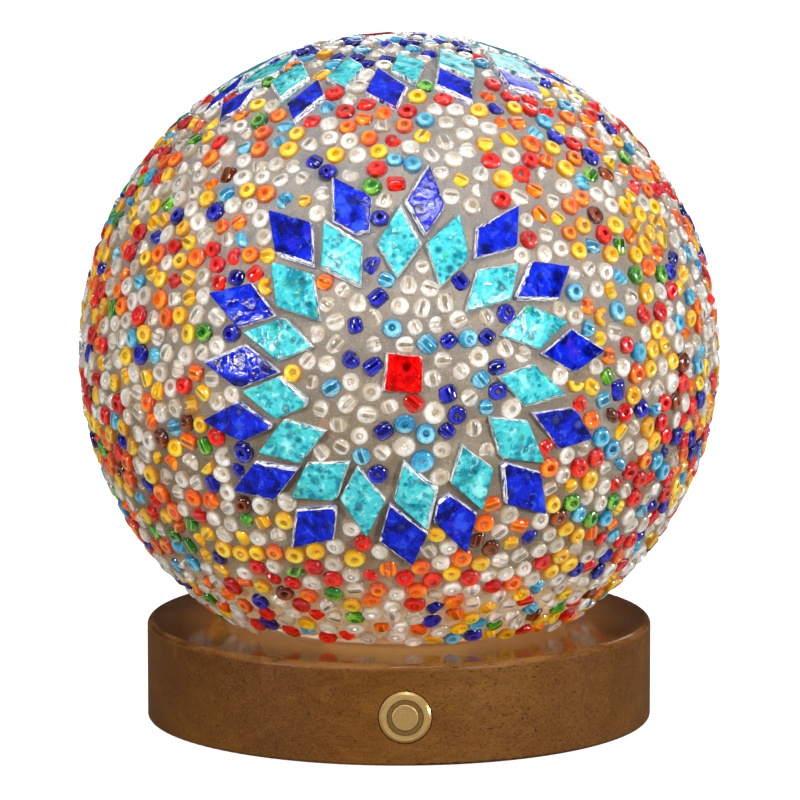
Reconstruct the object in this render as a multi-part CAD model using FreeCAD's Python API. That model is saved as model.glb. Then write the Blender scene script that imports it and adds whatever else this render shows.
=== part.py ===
"""Cordless mosaic glass table lamp: a blown glass globe coated with glass tiles and seed beads set in
white cement, standing on a turned wooden base that holds the LED module, battery, charger board and a
brass push switch.

Frame: millimetres, +Z up, origin at the centre of the face the lamp stands on. -Y is the front, where
the push switch is, and +Y is the back, where the charging port is.
"""
import FreeCAD
import Part
import math
import os

V = FreeCAD.Vector
X, Y, Z = V(1, 0, 0), V(0, 1, 0), V(0, 0, 1)

# ---------------------------------------------------------------- driving dimensions, mm
BASE_R = 60.0            # turned wooden base
BASE_TOP = 23.9
BASE_BOTTOM = 0.3        # the wood stands this far above the table, on the pad
BASE_EDGE_R = 1.5        # rounding of the top edge
BASE_FOOT_R = 0.8        # rounding of the bottom edge
CAVITY_R = 46.0
CAVITY_TOP = 15.5
REBATE_R = 50.4          # seat of the bottom cover
REBATE_TOP = 3.2
COVER_R = 50.1
PAD_R = 46.0
PAD_T = 1.4

SEAT_R = 35.4            # turned seat for the globe's neck and the LED carrier
SEAT_Z = 20.9
WIRE_HOLE_R = 9.0

GLOBE_Z = 87.4           # centre of the globe
GLASS_R = 71.2           # outside of the glass
GLASS_T = 2.2
GROUT_R = 73.0           # outside of the cement bed
COAT_R = 76.2            # over the beads
NECK_R = 34.0            # outside of the glass neck
NECK_END = 21.7
COAT_END = 24.9          # lowest level of the beads, just over the base
GROUT_END = 27.4

TILE_SIDE = 11.0         # side of a rhombic tile
TILE_LONG = 18.3         # its long diagonal
TILE_SHORT = 10.8        # its short diagonal
TILE_T = 3.0             # sheet glass thickness
TILE_SEAT = 72.7         # radius of a tile's underside at its centre
RING_IN = 22.95          # angle from a medallion's centre to its turquoise ring, degrees
RING_OUT = 30.5          # and to its cobalt ring
RING_COUNT = 15

SWITCH_Z = 11.7          # axis of the push switch, along Y
SWITCH_TRAVEL = 1.0
PORT_Z = 12.0            # axis of the charging port
PLUG_W = 13.4            # recess for the grip of a charging plug
PLUG_H = 7.6

# ---------------------------------------------------------------- small helpers


def cyl(r, z0, z1, x=0.0, y=0.0):
    return Part.makeCylinder(r, z1 - z0, V(x, y, z0), Z)


def ycyl(r, y0, y1, x=0.0, z=0.0):
    return Part.makeCylinder(r, y1 - y0, V(x, y0, z), Y)


def box(x0, x1, y0, y1, z0, z1):
    return Part.makeBox(x1 - x0, y1 - y0, z1 - z0, V(x0, y0, z0))


def revolve(points):
    """A solid of revolution about Z from a closed profile of (radius, z) points and ('arc', mid, end) steps."""
    edges, here = [], None
    first = V(points[0][0], 0, points[0][1])
    here = first
    for p in points[1:]:
        if p[0] == "arc":
            mid, end = V(p[1][0], 0, p[1][1]), V(p[2][0], 0, p[2][1])
            edges.append(Part.Arc(here, mid, end).toShape())
        else:
            end = V(p[0], 0, p[1])
            edges.append(Part.makeLine(here, end))
        here = end
    if (here - first).Length > 1e-6:
        edges.append(Part.makeLine(here, first))
    face = Part.Face(Part.Wire(edges))
    return face.revolve(V(0, 0, 0), Z, 360)


def solid_of(shape):
    """The shape's single solid, refined."""
    s = shape.removeSplitter()
    return s.Solids[0] if len(s.Solids) == 1 else s


def rounded_box(x0, x1, y0, y1, z0, z1, r, direction=Z):
    b = box(x0, x1, y0, y1, z0, z1)
    edges = []
    for e in b.Edges:
        t = e.tangentAt(e.FirstParameter)
        if abs(abs(t.dot(direction)) - 1) < 1e-6:
            edges.append(e)
    return b.makeFillet(r, edges)


def wire_tube(points, radius):
    """A round tube along straight runs joined by tangent arcs. Each arc's radius is 0.45 of its shorter run over the tangent of half the turn."""
    pts = [V(*p) for p in points]
    edges, here, radii = [], pts[0], []
    for i in range(1, len(pts) - 1):
        a, b, c = pts[i - 1], pts[i], pts[i + 1]
        u, w = (a - b), (c - b)
        run = min(u.Length, w.Length)
        u.normalize()
        w.normalize()
        turn = math.pi - math.acos(max(-1.0, min(1.0, u.dot(w))))
        trim = 0.45 * run
        rad = trim / math.tan(turn / 2)
        radii.append(round(rad, 1))
        s, e = b + u * trim, b + w * trim
        bis = (u + w)
        bis.normalize()
        centre = b + bis * (rad / math.cos(turn / 2))
        mid = centre - bis * rad
        edges.append(Part.makeLine(here, s))
        edges.append(Part.Arc(s, mid, e).toShape())
        here = e
    edges.append(Part.makeLine(here, pts[-1]))
    path = Part.Wire(edges)
    d = pts[1] - pts[0]
    prof = Part.Wire([Part.makeCircle(radius, pts[0], d)])
    tube = path.makePipeShell([prof], True, True)
    length = sum(e.Length for e in edges)
    want = math.pi * radius * radius * length
    print("wire radii", radii, "volume ratio", round(tube.Volume / want, 4))
    return tube


def direction(lon, lat):
    """Unit vector on the globe: longitude 0 faces the front, -Y, and grows towards +X."""
    a, b = math.radians(lon), math.radians(lat)
    return V(math.sin(a) * math.cos(b), -math.cos(a) * math.cos(b), math.sin(b))


class Draw:
    """Small repeatable number sequence for hand-set irregularity."""

    def __init__(self, seed):
        self.s = seed

    def __call__(self, lo, hi):
        self.s = (self.s * 1103515245 + 12345) % 2147483648
        return lo + (hi - lo) * (self.s / 2147483648.0)


made = {}


def keep(name, *solids):
    made[name] = list(solids)


# ================================================================ wooden base
t = BASE_EDGE_R
q = math.sqrt(0.5)
wood = revolve([
    (0, BASE_BOTTOM),
    (BASE_R - BASE_FOOT_R, BASE_BOTTOM),
    ("arc", (BASE_R - BASE_FOOT_R + BASE_FOOT_R * q, BASE_BOTTOM + BASE_FOOT_R - BASE_FOOT_R * q), (BASE_R, BASE_BOTTOM + BASE_FOOT_R)),
    (BASE_R, BASE_TOP - t),
    ("arc", (BASE_R - t + t * q, BASE_TOP - t + t * q), (BASE_R - t, BASE_TOP)),
    (0, BASE_TOP),
])
wood = wood.cut(cyl(REBATE_R, BASE_BOTTOM - 1, REBATE_TOP))
wood = wood.cut(cyl(CAVITY_R, REBATE_TOP - 0.5, CAVITY_TOP))
wood = wood.cut(cyl(SEAT_R, SEAT_Z, BASE_TOP + 1))
wood = wood.cut(cyl(WIRE_HOLE_R, CAVITY_TOP - 1, SEAT_Z + 1))
# flat inside pocket behind the switch, its through hole, and its flat seat in the curved face
wood = wood.cut(box(-10.5, 10.5, -53.6, -40, REBATE_TOP - 0.5, CAVITY_TOP + 2.2))
wood = wood.cut(ycyl(5.15, -62, -50, 0, SWITCH_Z))
wood = wood.cut(ycyl(6.25, -62, -58.9, 0, SWITCH_Z))
# pocket and rounded slot of the charging port
wood = wood.cut(box(-8, 8, 40, 56.6, REBATE_TOP - 0.5, CAVITY_TOP))
wood = wood.cut(rounded_box(-4.65, 4.65, 50, 62, PORT_Z - 1.8, PORT_Z + 1.8, 1.7, Y))
wood = wood.cut(rounded_box(-PLUG_W / 2, PLUG_W / 2, 57.7, 62, PORT_Z - PLUG_H / 2, PORT_Z + PLUG_H / 2, PLUG_H / 2 - 0.05, Y))
# pilot holes of the cover screws and of the carrier screws
COVER_SCREW_R, CARRIER_SCREW_R = 48.0, 27.2
cover_angles = (45, 135, 225, 315)
carrier_angles = (90, 210, 330)
for a in cover_angles:
    x, y = COVER_SCREW_R * math.cos(math.radians(a)), COVER_SCREW_R * math.sin(math.radians(a))
    wood = wood.cut(cyl(1.15, REBATE_TOP - 1, REBATE_TOP + 7.5, x, y))
for a in carrier_angles:
    x, y = CARRIER_SCREW_R * math.cos(math.radians(a)), CARRIER_SCREW_R * math.sin(math.radians(a))
    wood = wood.cut(cyl(1.15, CAVITY_TOP - 1, SEAT_Z + 1, x, y))
keep("wood_base", solid_of(wood))

# ================================================================ bottom cover, its screws and the pad
cover = cyl(COVER_R, PAD_T, REBATE_TOP)
for a in cover_angles:
    x, y = COVER_SCREW_R * math.cos(math.radians(a)), COVER_SCREW_R * math.sin(math.radians(a))
    cover = cover.cut(cyl(1.6, 0, 5, x, y))
    cone = Part.makeCone(2.5, 1.6, 1.0, V(x, y, PAD_T), Z)
    cover = cover.cut(cone)
keep("bottom_cover", solid_of(cover))
screws = []
for a in cover_angles:
    x, y = COVER_SCREW_R * math.cos(math.radians(a)), COVER_SCREW_R * math.sin(math.radians(a))
    head = Part.makeCone(2.4, 1.45, 1.0, V(x, y, PAD_T + 0.05), Z)
    shank = cyl(1.13, PAD_T + 1.0, 9.4, x, y)
    tip = Part.makeCone(1.13, 0.2, 1.0, V(x, y, 9.4), Z)
    s = head.fuse(shank).fuse(tip)
    rec = box(x - 1.3, x + 1.3, y - 0.28, y + 0.28, PAD_T, PAD_T + 0.7).fuse(box(x - 0.28, x + 0.28, y - 1.3, y + 1.3, PAD_T, PAD_T + 0.7))
    screws.append(solid_of(s.cut(rec)))
keep("cover_screws", *screws)
pad = cyl(PAD_R, 0, PAD_T)
pad = pad.makeFillet(0.4, [e for e in pad.Edges if e.Length > 200 and abs(e.CenterOfMass.z) < 0.01])
keep("base_pad", pad)

# ================================================================ LED module in the top of the base
carrier = revolve([(0, SEAT_Z + 0.02), (31.3, SEAT_Z + 0.02), (31.3, 25.6), (29.9, 25.6), (29.9, 23.0), (23.6, 23.0), (23.6, 24.6), (22.5, 24.6), (22.5, 23.0), (0, 23.0)])
carrier = carrier.cut(cyl(3.0, SEAT_Z - 1, 24, 0, 4.0))
for a in carrier_angles:
    x, y = CARRIER_SCREW_R * math.cos(math.radians(a)), CARRIER_SCREW_R * math.sin(math.radians(a))
    carrier = carrier.cut(cyl(1.6, SEAT_Z - 1, 24, x, y))
keep("led_carrier", solid_of(carrier))
screws = []
for a in carrier_angles:
    x, y = CARRIER_SCREW_R * math.cos(math.radians(a)), CARRIER_SCREW_R * math.sin(math.radians(a))
    head = cyl(2.4, 23.02, 24.5, x, y)
    head = head.makeFillet(0.7, [e for e in head.Edges if abs(e.CenterOfMass.z - 24.5) < 0.01 and e.Length > 5])
    s = head.fuse(cyl(1.13, 17.2, 23.1, x, y)).fuse(Part.makeCone(0.2, 1.13, 1.0, V(x, y, 16.2), Z))
    rec = box(x - 1.3, x + 1.3, y - 0.3, y + 0.3, 23.7, 25).fuse(box(x - 0.3, x + 0.3, y - 1.3, y + 1.3, 23.7, 25))
    screws.append(solid_of(s.cut(rec)))
keep("carrier_screws", *screws)
board = cyl(18.0, 23.05, 24.45)
board = board.cut(cyl(1.6, 22, 26, 0, 4.0))
keep("led_board", solid_of(board))
chips = []
for n, rad, off in ((6, 7.5, 0), (12, 14.0, 15)):
    for i in range(n):
        a = math.radians(off + 360.0 * i / n)
        c = rounded_box(-1.75, 1.75, -1.4, 1.4, 24.47, 25.25, 0.3)
        c.rotate(V(0, 0, 0), Z, off + 360.0 * i / n)
        c.translate(V(rad * math.cos(a), rad * math.sin(a), 0))
        chips.append(c)
keep("led_chips", *chips)
# frosted dome over the LEDs, standing on the carrier inside its ring
dome_r, dome_t, dome_base = 22.3, 1.3, 23.05
rise = 13.0
big = (dome_r * dome_r + rise * rise) / (2 * rise)
cz = dome_base + 2.0 + rise - big


def on_arc(rad, ang):
    return (rad * math.sin(ang), cz + rad * math.cos(ang))


a_out = math.asin(dome_r / big)
a_in = math.asin((dome_r - dome_t) / (big - dome_t))
dome = revolve([
    (dome_r, dome_base),
    on_arc(big, a_out),
    ("arc", on_arc(big, a_out / 2), (0, cz + big)),
    (0, cz + big - dome_t),
    ("arc", on_arc(big - dome_t, a_in / 2), on_arc(big - dome_t, a_in)),
    (dome_r - dome_t, dome_base),
])
keep("led_diffuser", solid_of(dome))

# ================================================================ globe: glass, gasket, cement bed
ri = GLASS_R - GLASS_T
ni = NECK_R - GLASS_T


def sphere_z(rad, r):
    return GLOBE_Z - math.sqrt(rad * rad - r * r)


def sphere_r(rad, z):
    return math.sqrt(rad * rad - (GLOBE_Z - z) ** 2)


glass = revolve([
    (0, GLOBE_Z + GLASS_R),
    ("arc", (GLASS_R, GLOBE_Z), (NECK_R, sphere_z(GLASS_R, NECK_R))),
    (NECK_R, NECK_END + 0.6),
    ("arc", (NECK_R - 0.18, NECK_END + 0.18), (NECK_R - 0.6, NECK_END)),
    (ni + 0.6, NECK_END),
    ("arc", (ni + 0.18, NECK_END + 0.18), (ni, NECK_END + 0.6)),
    (ni, sphere_z(ri, ni)),
    ("arc", (ri, GLOBE_Z), (0, GLOBE_Z + ri)),
])
keep("glass_globe", solid_of(glass))
gasket = revolve([(31.5, SEAT_Z + 0.02), (SEAT_R - 0.05, SEAT_Z + 0.02), (SEAT_R - 0.05, BASE_TOP - 0.5), (NECK_R + 0.06, BASE_TOP - 0.1), (NECK_R + 0.06, NECK_END - 0.05), (31.5, NECK_END - 0.05)])
keep("neck_gasket", solid_of(gasket))
g0, g1 = GLASS_R + 0.02, GROUT_R
grout = revolve([
    (0, GLOBE_Z + g1),
    ("arc", (g1, GLOBE_Z), (sphere_r(g1, GROUT_END), GROUT_END)),
    (sphere_r(g0, GROUT_END), GROUT_END),
    ("arc", (g0, GLOBE_Z), (0, GLOBE_Z + g0)),
])
keep("cement_bed", solid_of(grout))

# ================================================================ mosaic tiles
# Corner tables of the front medallion and of the near half of the top one: (longitude, latitude), degrees.
FRONT_TURQUOISE = [
    [(-0.9, 34.5), (3.3, 26.9), (-1.7, 20.6), (-5.8, 26.8)],
    [(11.0, 32.4), (12.1, 24.0), (6.0, 18.9), (3.6, 26.9)],
    [(21.6, 23.2), (19.1, 16.5), (10.2, 14.6), (13.1, 22.3)],
    [(22.0, 15.8), (29.8, 12.3), (23.7, 7.7), (16.2, 10.5)],
    [(22.5, 5.6), (28.9, -0.5), (20.8, -2.1), (15.6, 3.6)],
    [(14.0, -3.1), (21.4, -4.2), (25.2, -12.1), (16.4, -10.9)],
    [(9.5, -7.8), (15.6, -12.5), (14.1, -20.5), (7.6, -14.8)],
    [(-0.6, -10.5), (5.9, -15.9), (4.3, -24.3), (-2.4, -18.2)],
    [(-8.6, -11.5), (-3.6, -18.1), (-7.4, -25.5), (-12.2, -17.9)],
    [(-17.8, -11.4), (-9.2, -10.9), (-12.5, -18.4), (-21.4, -18.2)],
    [(-21.5, -3.7), (-13.7, -5.5), (-18.8, -11.8), (-26.8, -10.1)],
    [(-22.0, 3.8), (-16.0, -1.0), (-22.8, -4.3), (-29.4, 0.6)],
    [(-21.9, 13.8), (-15.8, 8.7), (-22.6, 5.9), (-29.8, 10.6)],
    [(-26.0, 23.3), (-17.0, 21.3), (-15.1, 13.0), (-23.7, 15.2)],
    [(-16.6, 31.5), (-8.2, 27.2), (-8.1, 18.8), (-16.1, 22.1)],
]
FRONT_COBALT = [
    [(5.5, 42.7), (8.3, 33.8), (3.6, 28.0), (-0.5, 35.0)],
    [(24.3, 33.9), (21.7, 25.6), (12.6, 23.8), (13.9, 29.9)],
    [(23.8, 23.3), (32.1, 21.9), (28.3, 15.8), (19.2, 16.4)],
    [(30.6, 11.2), (37.4, 6.8), (30.3, 3.3), (23.8, 7.1)],
    [(21.9, -2.9), (30.3, -2.5), (34.7, -8.4), (27.7, -9.9)],
    [(16.5, -11.0), (24.7, -13.7), (27.1, -22.0), (18.1, -19.4)],
    [(6.4, -15.8), (13.3, -21.1), (12.1, -29.2), (4.6, -22.0)],
    [(-3.1, -18.6), (4.3, -24.6), (1.3, -32.1), (-5.3, -26.7)],
    [(-20.8, -20.5), (-12.4, -19.3), (-13.9, -26.4), (-23.3, -28.7)],
    [(-27.5, -11.7), (-19.0, -12.5), (-24.6, -19.1), (-33.0, -17.8)],
    [(-30.1, -1.2), (-22.9, -5.3), (-30.1, -8.7), (-37.6, -5.1)],
    [(-29.1, 8.8), (-21.7, 4.2), (-30.0, 0.7), (-37.6, 5.1)],
    [(-29.0, 19.3), (-23.2, 13.7), (-30.7, 11.1), (-37.9, 16.8)],
    [(-29.0, 32.5), (-18.7, 30.6), (-17.0, 22.3), (-25.2, 24.1)],
    [(-16.7, 39.6), (-6.9, 35.8), (-7.0, 27.1), (-15.0, 30.6)],
]
FRONT_RED = [[(-3.7, 8.2), (2.9, 7.5), (2.7, 1.0), (-4.4, 1.3)]]
TOP_TURQUOISE = [
    [(-54.4, 68.4), (-38.8, 63.7), (-41.8, 56.1), (-55.4, 60.6)],
    [(-32.1, 72.0), (-18.2, 68.7), (-20.4, 60.4), (-32.6, 64.0)],
    [(-1.7, 74.1), (12.5, 70.1), (5.2, 62.3), (-5.5, 67.4)],
    [(29.0, 76.1), (38.6, 68.8), (29.4, 63.0), (18.2, 69.6)],
    [(61.1, 72.7), (75.0, 67.9), (61.8, 60.6), (46.7, 66.5)],
]
TOP_COBALT = [
    [(-82.2, 61.5), (-72.0, 58.7), (-70.7, 50.0), (-78.5, 53.5)],
    [(-60.2, 59.5), (-55.4, 53.2), (-60.2, 49.5), (-67.3, 53.0)],
    [(-33.7, 63.1), (-26.3, 58.3), (-31.5, 50.7), (-38.6, 55.5)],
    [(-10.9, 68.3), (2.5, 61.9), (-1.8, 54.9), (-13.5, 59.7)],
    [(16.5, 68.0), (27.2, 62.2), (22.5, 56.1), (11.6, 61.9)],
    [(46.0, 66.4), (55.5, 60.5), (52.4, 56.5), (41.4, 60.2)],
    [(74.9, 67.7), (82.0, 62.3), (78.1, 56.1), (69.2, 61.6)],
]
SHRINK = 0.975           # the corner tables are measured over the glass edges' glints


def tile_from_corners(dirs):
    """One flat tile: its corner directions projected on the plane that seats it."""
    n = V(0, 0, 0)
    for d in dirs:
        n = n + d
    n.normalize()
    c = n * TILE_SEAT
    foot = []
    for d in dirs:
        p = d * (75.6 / d.dot(n) * d.dot(n))
        flat = p - n * (p.dot(n) - TILE_SEAT)
        foot.append(c + (flat - c) * SHRINK)
    o = V(0, 0, GLOBE_Z)
    wire = Part.makePolygon([p + o for p in foot] + [foot[0] + o])
    return Part.Face(wire).extrude(n * TILE_T), n, [p - c for p in foot]


def ring_tile(axis, up, bearing, angle, turn, long_d, short_d):
    """A rhombic tile on a medallion: its long diagonal points away from the medallion's centre."""
    side = up.cross(axis)
    side.normalize()
    out = up * math.cos(bearing) + side * math.sin(bearing)
    n = axis * math.cos(angle) + out * math.sin(angle)
    radial = out * math.cos(angle) - axis * math.sin(angle)
    cross = n.cross(radial)
    u = radial * math.cos(turn) + cross * math.sin(turn)
    w = n.cross(u)
    c = n * 75.6
    pts = [c + u * (long_d / 2), c + w * (short_d / 2), c - u * (long_d / 2), c - w * (short_d / 2)]
    dirs = []
    for p in pts:
        p.normalize()
        dirs.append(p)
    return dirs


cobalt, turquoise, red = [], [], []
for q4 in FRONT_TURQUOISE + TOP_TURQUOISE:
    turquoise.append([direction(*p) for p in q4])
for q4 in FRONT_COBALT + TOP_COBALT:
    cobalt.append([direction(*p) for p in q4])
for q4 in FRONT_RED:
    red.append([direction(*p) for p in q4])
draw = Draw(20417)
# far half of the top medallion
pole = V(-0.063, 0.004, 0.998)
pole.normalize()
up0 = V(0, -1, 0) - pole * pole.dot(V(0, -1, 0))
up0.normalize()
side0 = up0.cross(pole)


def bearings_left(rings, total):
    """Bearings, about the top medallion's axis, that fill the part of its ring the tables leave open."""
    have = []
    for q4 in rings:
        c = V(0, 0, 0)
        for p in q4:
            c = c + direction(*p)
        have.append(math.atan2(c.dot(side0), c.dot(up0)))
    have.sort()
    n = total - len(have)
    gap = have[0] + 2 * math.pi - have[-1]
    return [have[-1] + gap * (k + 1) / (n + 1) for k in range(n)]


for b in bearings_left(TOP_TURQUOISE, RING_COUNT):
    turquoise.append(ring_tile(pole, up0, b + draw(-0.03, 0.03), math.radians(RING_IN) + draw(-0.012, 0.012), draw(-0.12, 0.12), TILE_LONG + draw(-0.7, 0.5), TILE_SHORT + draw(-0.5, 0.5)))
for b in bearings_left(TOP_COBALT, RING_COUNT):
    cobalt.append(ring_tile(pole, up0, b + draw(-0.02, 0.02), math.radians(RING_OUT) + draw(-0.008, 0.012), draw(-0.10, 0.10), TILE_LONG + draw(-0.7, 0.5), TILE_SHORT + draw(-0.5, 0.3)))
red.append(ring_tile(pole, up0, math.radians(40), 0.001, 0.2, 11.2, 11.0))
# the two medallions of the back, at a third of a turn from the front one
for lon in (120.0, 240.0):
    ax = direction(lon, 4.4)
    u = V(0, 0, 1) - ax * ax.z
    u.normalize()
    start = draw(0, 0.3)
    for k in range(RING_COUNT):
        b = start + 2 * math.pi * k / RING_COUNT
        turquoise.append(ring_tile(ax, u, b + draw(-0.03, 0.03), math.radians(RING_IN) + draw(-0.012, 0.012), draw(-0.14, 0.14), TILE_LONG + draw(-0.7, 0.5), TILE_SHORT + draw(-0.5, 0.4)))
        b += math.pi / RING_COUNT
        cobalt.append(ring_tile(ax, u, b + draw(-0.03, 0.03), math.radians(RING_OUT) + draw(-0.010, 0.014), draw(-0.14, 0.14), TILE_LONG + draw(-0.7, 0.5), TILE_SHORT + draw(-0.5, 0.4)))
    red.append(ring_tile(ax, u, 0.7, 0.001, draw(-0.1, 0.3), 12.4, 12.0))

groups = {"cobalt_tiles": cobalt, "turquoise_tiles": turquoise, "red_tiles": red}
tiles = {}
everything = []
for name, items in groups.items():
    tiles[name] = []
    for dirs in items:
        s, n, flat = tile_from_corners(dirs)
        if s.Volume < 0:
            s.reverse()
        tiles[name].append(s)
        everything.append((name, len(tiles[name]) - 1, n))

# a tile that would touch an earlier neighbour is trimmed back along its edge, as a setter nips it
def centre(s):
    return s.CenterOfMass


order = [("red_tiles", i) for i in range(len(tiles["red_tiles"]))] + [("turquoise_tiles", i) for i in range(len(tiles["turquoise_tiles"]))] + [("cobalt_tiles", i) for i in range(len(tiles["cobalt_tiles"]))]
placed = []
trimmed = 0
normals = {(name, i): n for name, i, n in everything}
for name, i in order:
    s = tiles[name][i]
    for o in placed:
        if (centre(s) - centre(o)).Length > 21:
            continue
        d = s.distToShape(o)[0]
        if d >= 0.12:
            continue
        # separate the pair by a plane between them, square to the tile's own face
        ca, cb = centre(s), centre(o)
        best = None
        n = normals[(name, i)]
        for deg in range(0, 180, 6):
            u = V(1, 0, 0) if abs(n.x) < 0.9 else V(0, 1, 0)
            u = u - n * n.dot(u)
            u.normalize()
            w = n.cross(u)
            m = u * math.cos(math.radians(deg)) + w * math.sin(math.radians(deg))
            if m.dot(ca - cb) < 0:
                m = m * -1
            reach = max(m.dot(v.Point) for v in o.Vertexes)
            lost = sum(max(0.0, reach + 0.14 - m.dot(v.Point)) for v in s.Vertexes)
            if best is None or lost < best[0]:
                best = (lost, m, reach)
        lost, m, reach = best
        mid = (ca + cb) * 0.5
        p = mid + m * (reach + 0.14 - m.dot(mid))
        w = n.cross(m)
        w.normalize()
        k = m.cross(w)
        big = 40
        base = p - w * big - k * big
        face = Part.makePolygon([base, base + w * 2 * big, base + w * 2 * big + k * 2 * big, base + k * 2 * big, base])
        cutter = Part.Face(face).extrude(m * -60)
        r = s.cut(cutter)
        if len(r.Solids) >= 1 and r.Volume > 0.55 * s.Volume:
            s = r.Solids[0]
            trimmed += 1
        else:
            print("tile dropped back", name, i, round(r.Volume / s.Volume, 2))
            s = r.Solids[0] if r.Solids else s
    tiles[name][i] = s
    placed.append(s)
print("tiles", {k: len(v) for k, v in tiles.items()}, "trimmed", trimmed)
for name in tiles:
    keep(name, *tiles[name])

# pockets of the tiles in the cement bed and in the coat of beads
pockets = []
for s in placed:
    c = s.CenterOfMass - V(0, 0, GLOBE_Z)
    n = max((f.normalAt(0, 0) for f in s.Faces), key=lambda m: m.dot(c))
    # grow the footprint by 0.1 mm and run it right through the coat
    faces = sorted(s.Faces, key=lambda f: (f.CenterOfMass - V(0, 0, GLOBE_Z)).dot(n))
    bottom = faces[0]
    wire = bottom.OuterWire
    pts = [v.Point for v in wire.OrderedVertexes]
    mc = V(0, 0, 0)
    for p in pts:
        mc = mc + p
    mc = mc * (1.0 / len(pts))
    size = max((p - mc).Length for p in pts)
    grown = [mc + (p - mc) * ((size + 0.09) / size) for p in pts]
    face = Part.Face(Part.makePolygon(grown + [grown[0]]))
    pockets.append((face, n))
bed = made["cement_bed"][0]
cutters = []
for f, n in pockets:
    c = f.copy()
    c.translate(n * -0.02)
    cutters.append(c.extrude(n * 6.0))
bed = bed.cut(cutters)
print("cement bed", bed.isValid(), len(bed.Solids), round(bed.Volume, 1))
keep("cement_bed", *bed.Solids)

c0, c1 = GROUT_R + 0.03, COAT_R
coat = revolve([
    (0, GLOBE_Z + c1),
    ("arc", (c1, GLOBE_Z), (sphere_r(c1, COAT_END), COAT_END)),
    (sphere_r(c0, COAT_END + 1.3), COAT_END + 1.3),
    ("arc", (c0, GLOBE_Z), (0, GLOBE_Z + c0)),
])
coat = coat.cut(cutters)
print("bead coat", coat.isValid(), len(coat.Solids), round(coat.Volume, 1))
keep("bead_coat", *[s for s in coat.Solids if s.Volume > 5])

# ================================================================ brass push switch, axis along Y
def ytube(r0, r1, y0, y1):
    return ycyl(r1, y0, y1, 0, SWITCH_Z).cut(ycyl(r0, y0 - 1, y1 + 1, 0, SWITCH_Z))


flange = Part.makeCone(5.4, 6.0, 0.6, V(0, -60.4, SWITCH_Z), Y).fuse(ycyl(6.0, -59.8, -58.95, 0, SWITCH_Z))
barrel = ycyl(5.0, -58.95, -46.0, 0, SWITCH_Z)
body = flange.fuse(barrel)
body = body.cut(ycyl(4.25, -61, -55.0, 0, SWITCH_Z))
body = body.cut(ycyl(3.6, -56, -45.0, 0, SWITCH_Z))
keep("switch_bezel", solid_of(body))
keep("switch_light_ring", ytube(3.15, 4.2, -60.3, -57.0).cut(ytube(4.05, 5, -60.4, -60.1)).removeSplitter().Solids[0])
cap = ycyl(3.08, -60.45, -57.9, 0, SWITCH_Z)
cap = cap.makeFillet(0.3, [e for e in cap.Edges if abs(e.CenterOfMass.y + 60.45) < 0.01 and e.Length > 10])
stem = ycyl(1.3, -58.0, -51.2, 0, SWITCH_Z)
keep("switch_cap", solid_of(cap.fuse(stem)))
core = ycyl(3.55, -53.4, -45.6, 0, SWITCH_Z).cut(ycyl(1.42, -54, -49.8, 0, SWITCH_Z))
keep("switch_core", solid_of(core))
# return spring around the stem, between the cap and the core
coil_r, wire_r = 2.15, 0.2
free_len = 4.5 - 2 * (wire_r + 0.02)
helix = Part.makeHelix(free_len / 4.5, free_len, coil_r)
prof = Part.Wire([Part.makeCircle(wire_r, V(coil_r, 0, 0), Y)])
spring = Part.Wire(helix.Edges).makePipeShell([prof], True, True)
spring.rotate(V(0, 0, 0), X, -90)
spring.translate(V(0, -57.9 + wire_r + 0.02, SWITCH_Z))
print("spring", spring.isValid(), spring.BoundBox)
keep("switch_spring", spring.Solids[0] if spring.Solids else Part.Solid(spring))
hexa = []
for i in range(6):
    a = math.radians(60 * i + 30)
    hexa.append(V(7.2 * math.cos(a), -53.3, SWITCH_Z + 7.2 * math.sin(a)))
nut = Part.Face(Part.makePolygon(hexa + [hexa[0]])).extrude(V(0, 2.2, 0))
nut = nut.cut(ycyl(5.05, -54, -50, 0, SWITCH_Z))
nut = nut.common(box(-10, 10, -54, -50, REBATE_TOP + 0.2, CAVITY_TOP + 2.1))
keep("switch_nut", solid_of(nut))
keep("switch_washer", ytube(5.08, 5.9, -53.58, -53.32))
pins = []
for dx, dz in ((-1.6, 1.2), (1.6, 1.2), (-1.6, -1.2), (1.6, -1.2)):
    pins.append(box(dx - 0.5, dx + 0.5, -45.6, -42.4, SWITCH_Z + dz - 0.15, SWITCH_Z + dz + 0.15))
keep("switch_terminals", *pins)

# ================================================================ battery and electronics
batt = rounded_box(-37, -3, -25, 25, 4.4, 14.4, 3.0, Y)
keep("battery_cell", batt)
keep("battery_tape", box(-33, -7, -20, 20, 14.43, 15.47))
BZ0, BZ1 = 8.8, 10.4
pcb = box(-13.0, 19.5, 30.5, 56.2, BZ0, BZ1).cut(box(-14, -7.7, 43.5, 57, 8, 11)).cut(box(7.7, 20, 40.5, 57, 8, 11))
stand_at = ((-10.2, 35.5), (16.0, 35.5))
for x, y in stand_at:
    pcb = pcb.cut(cyl(1.6, 8, 11, x, y))
keep("charger_board", solid_of(pcb))
keep("board_standoffs", *[cyl(2.6, BZ1 + 0.02, CAVITY_TOP - 0.02, x, y).cut(cyl(1.15, 9, 16, x, y)) for x, y in stand_at])
bs = []
for x, y in stand_at:
    head = cyl(2.6, BZ0 - 1.6, BZ0 - 0.02, x, y)
    head = head.makeFillet(0.6, [e for e in head.Edges if abs(e.CenterOfMass.z - (BZ0 - 1.6)) < 0.01 and e.Length > 5])
    s = head.fuse(cyl(1.12, BZ0 - 0.1, 15.2, x, y))
    rec = box(x - 1.3, x + 1.3, y - 0.3, y + 0.3, BZ0 - 2, BZ0 - 0.9).fuse(box(x - 0.3, x + 0.3, y - 1.3, y + 1.3, BZ0 - 2, BZ0 - 0.9))
    bs.append(solid_of(s.cut(rec)))
keep("board_screws", *bs)
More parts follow.
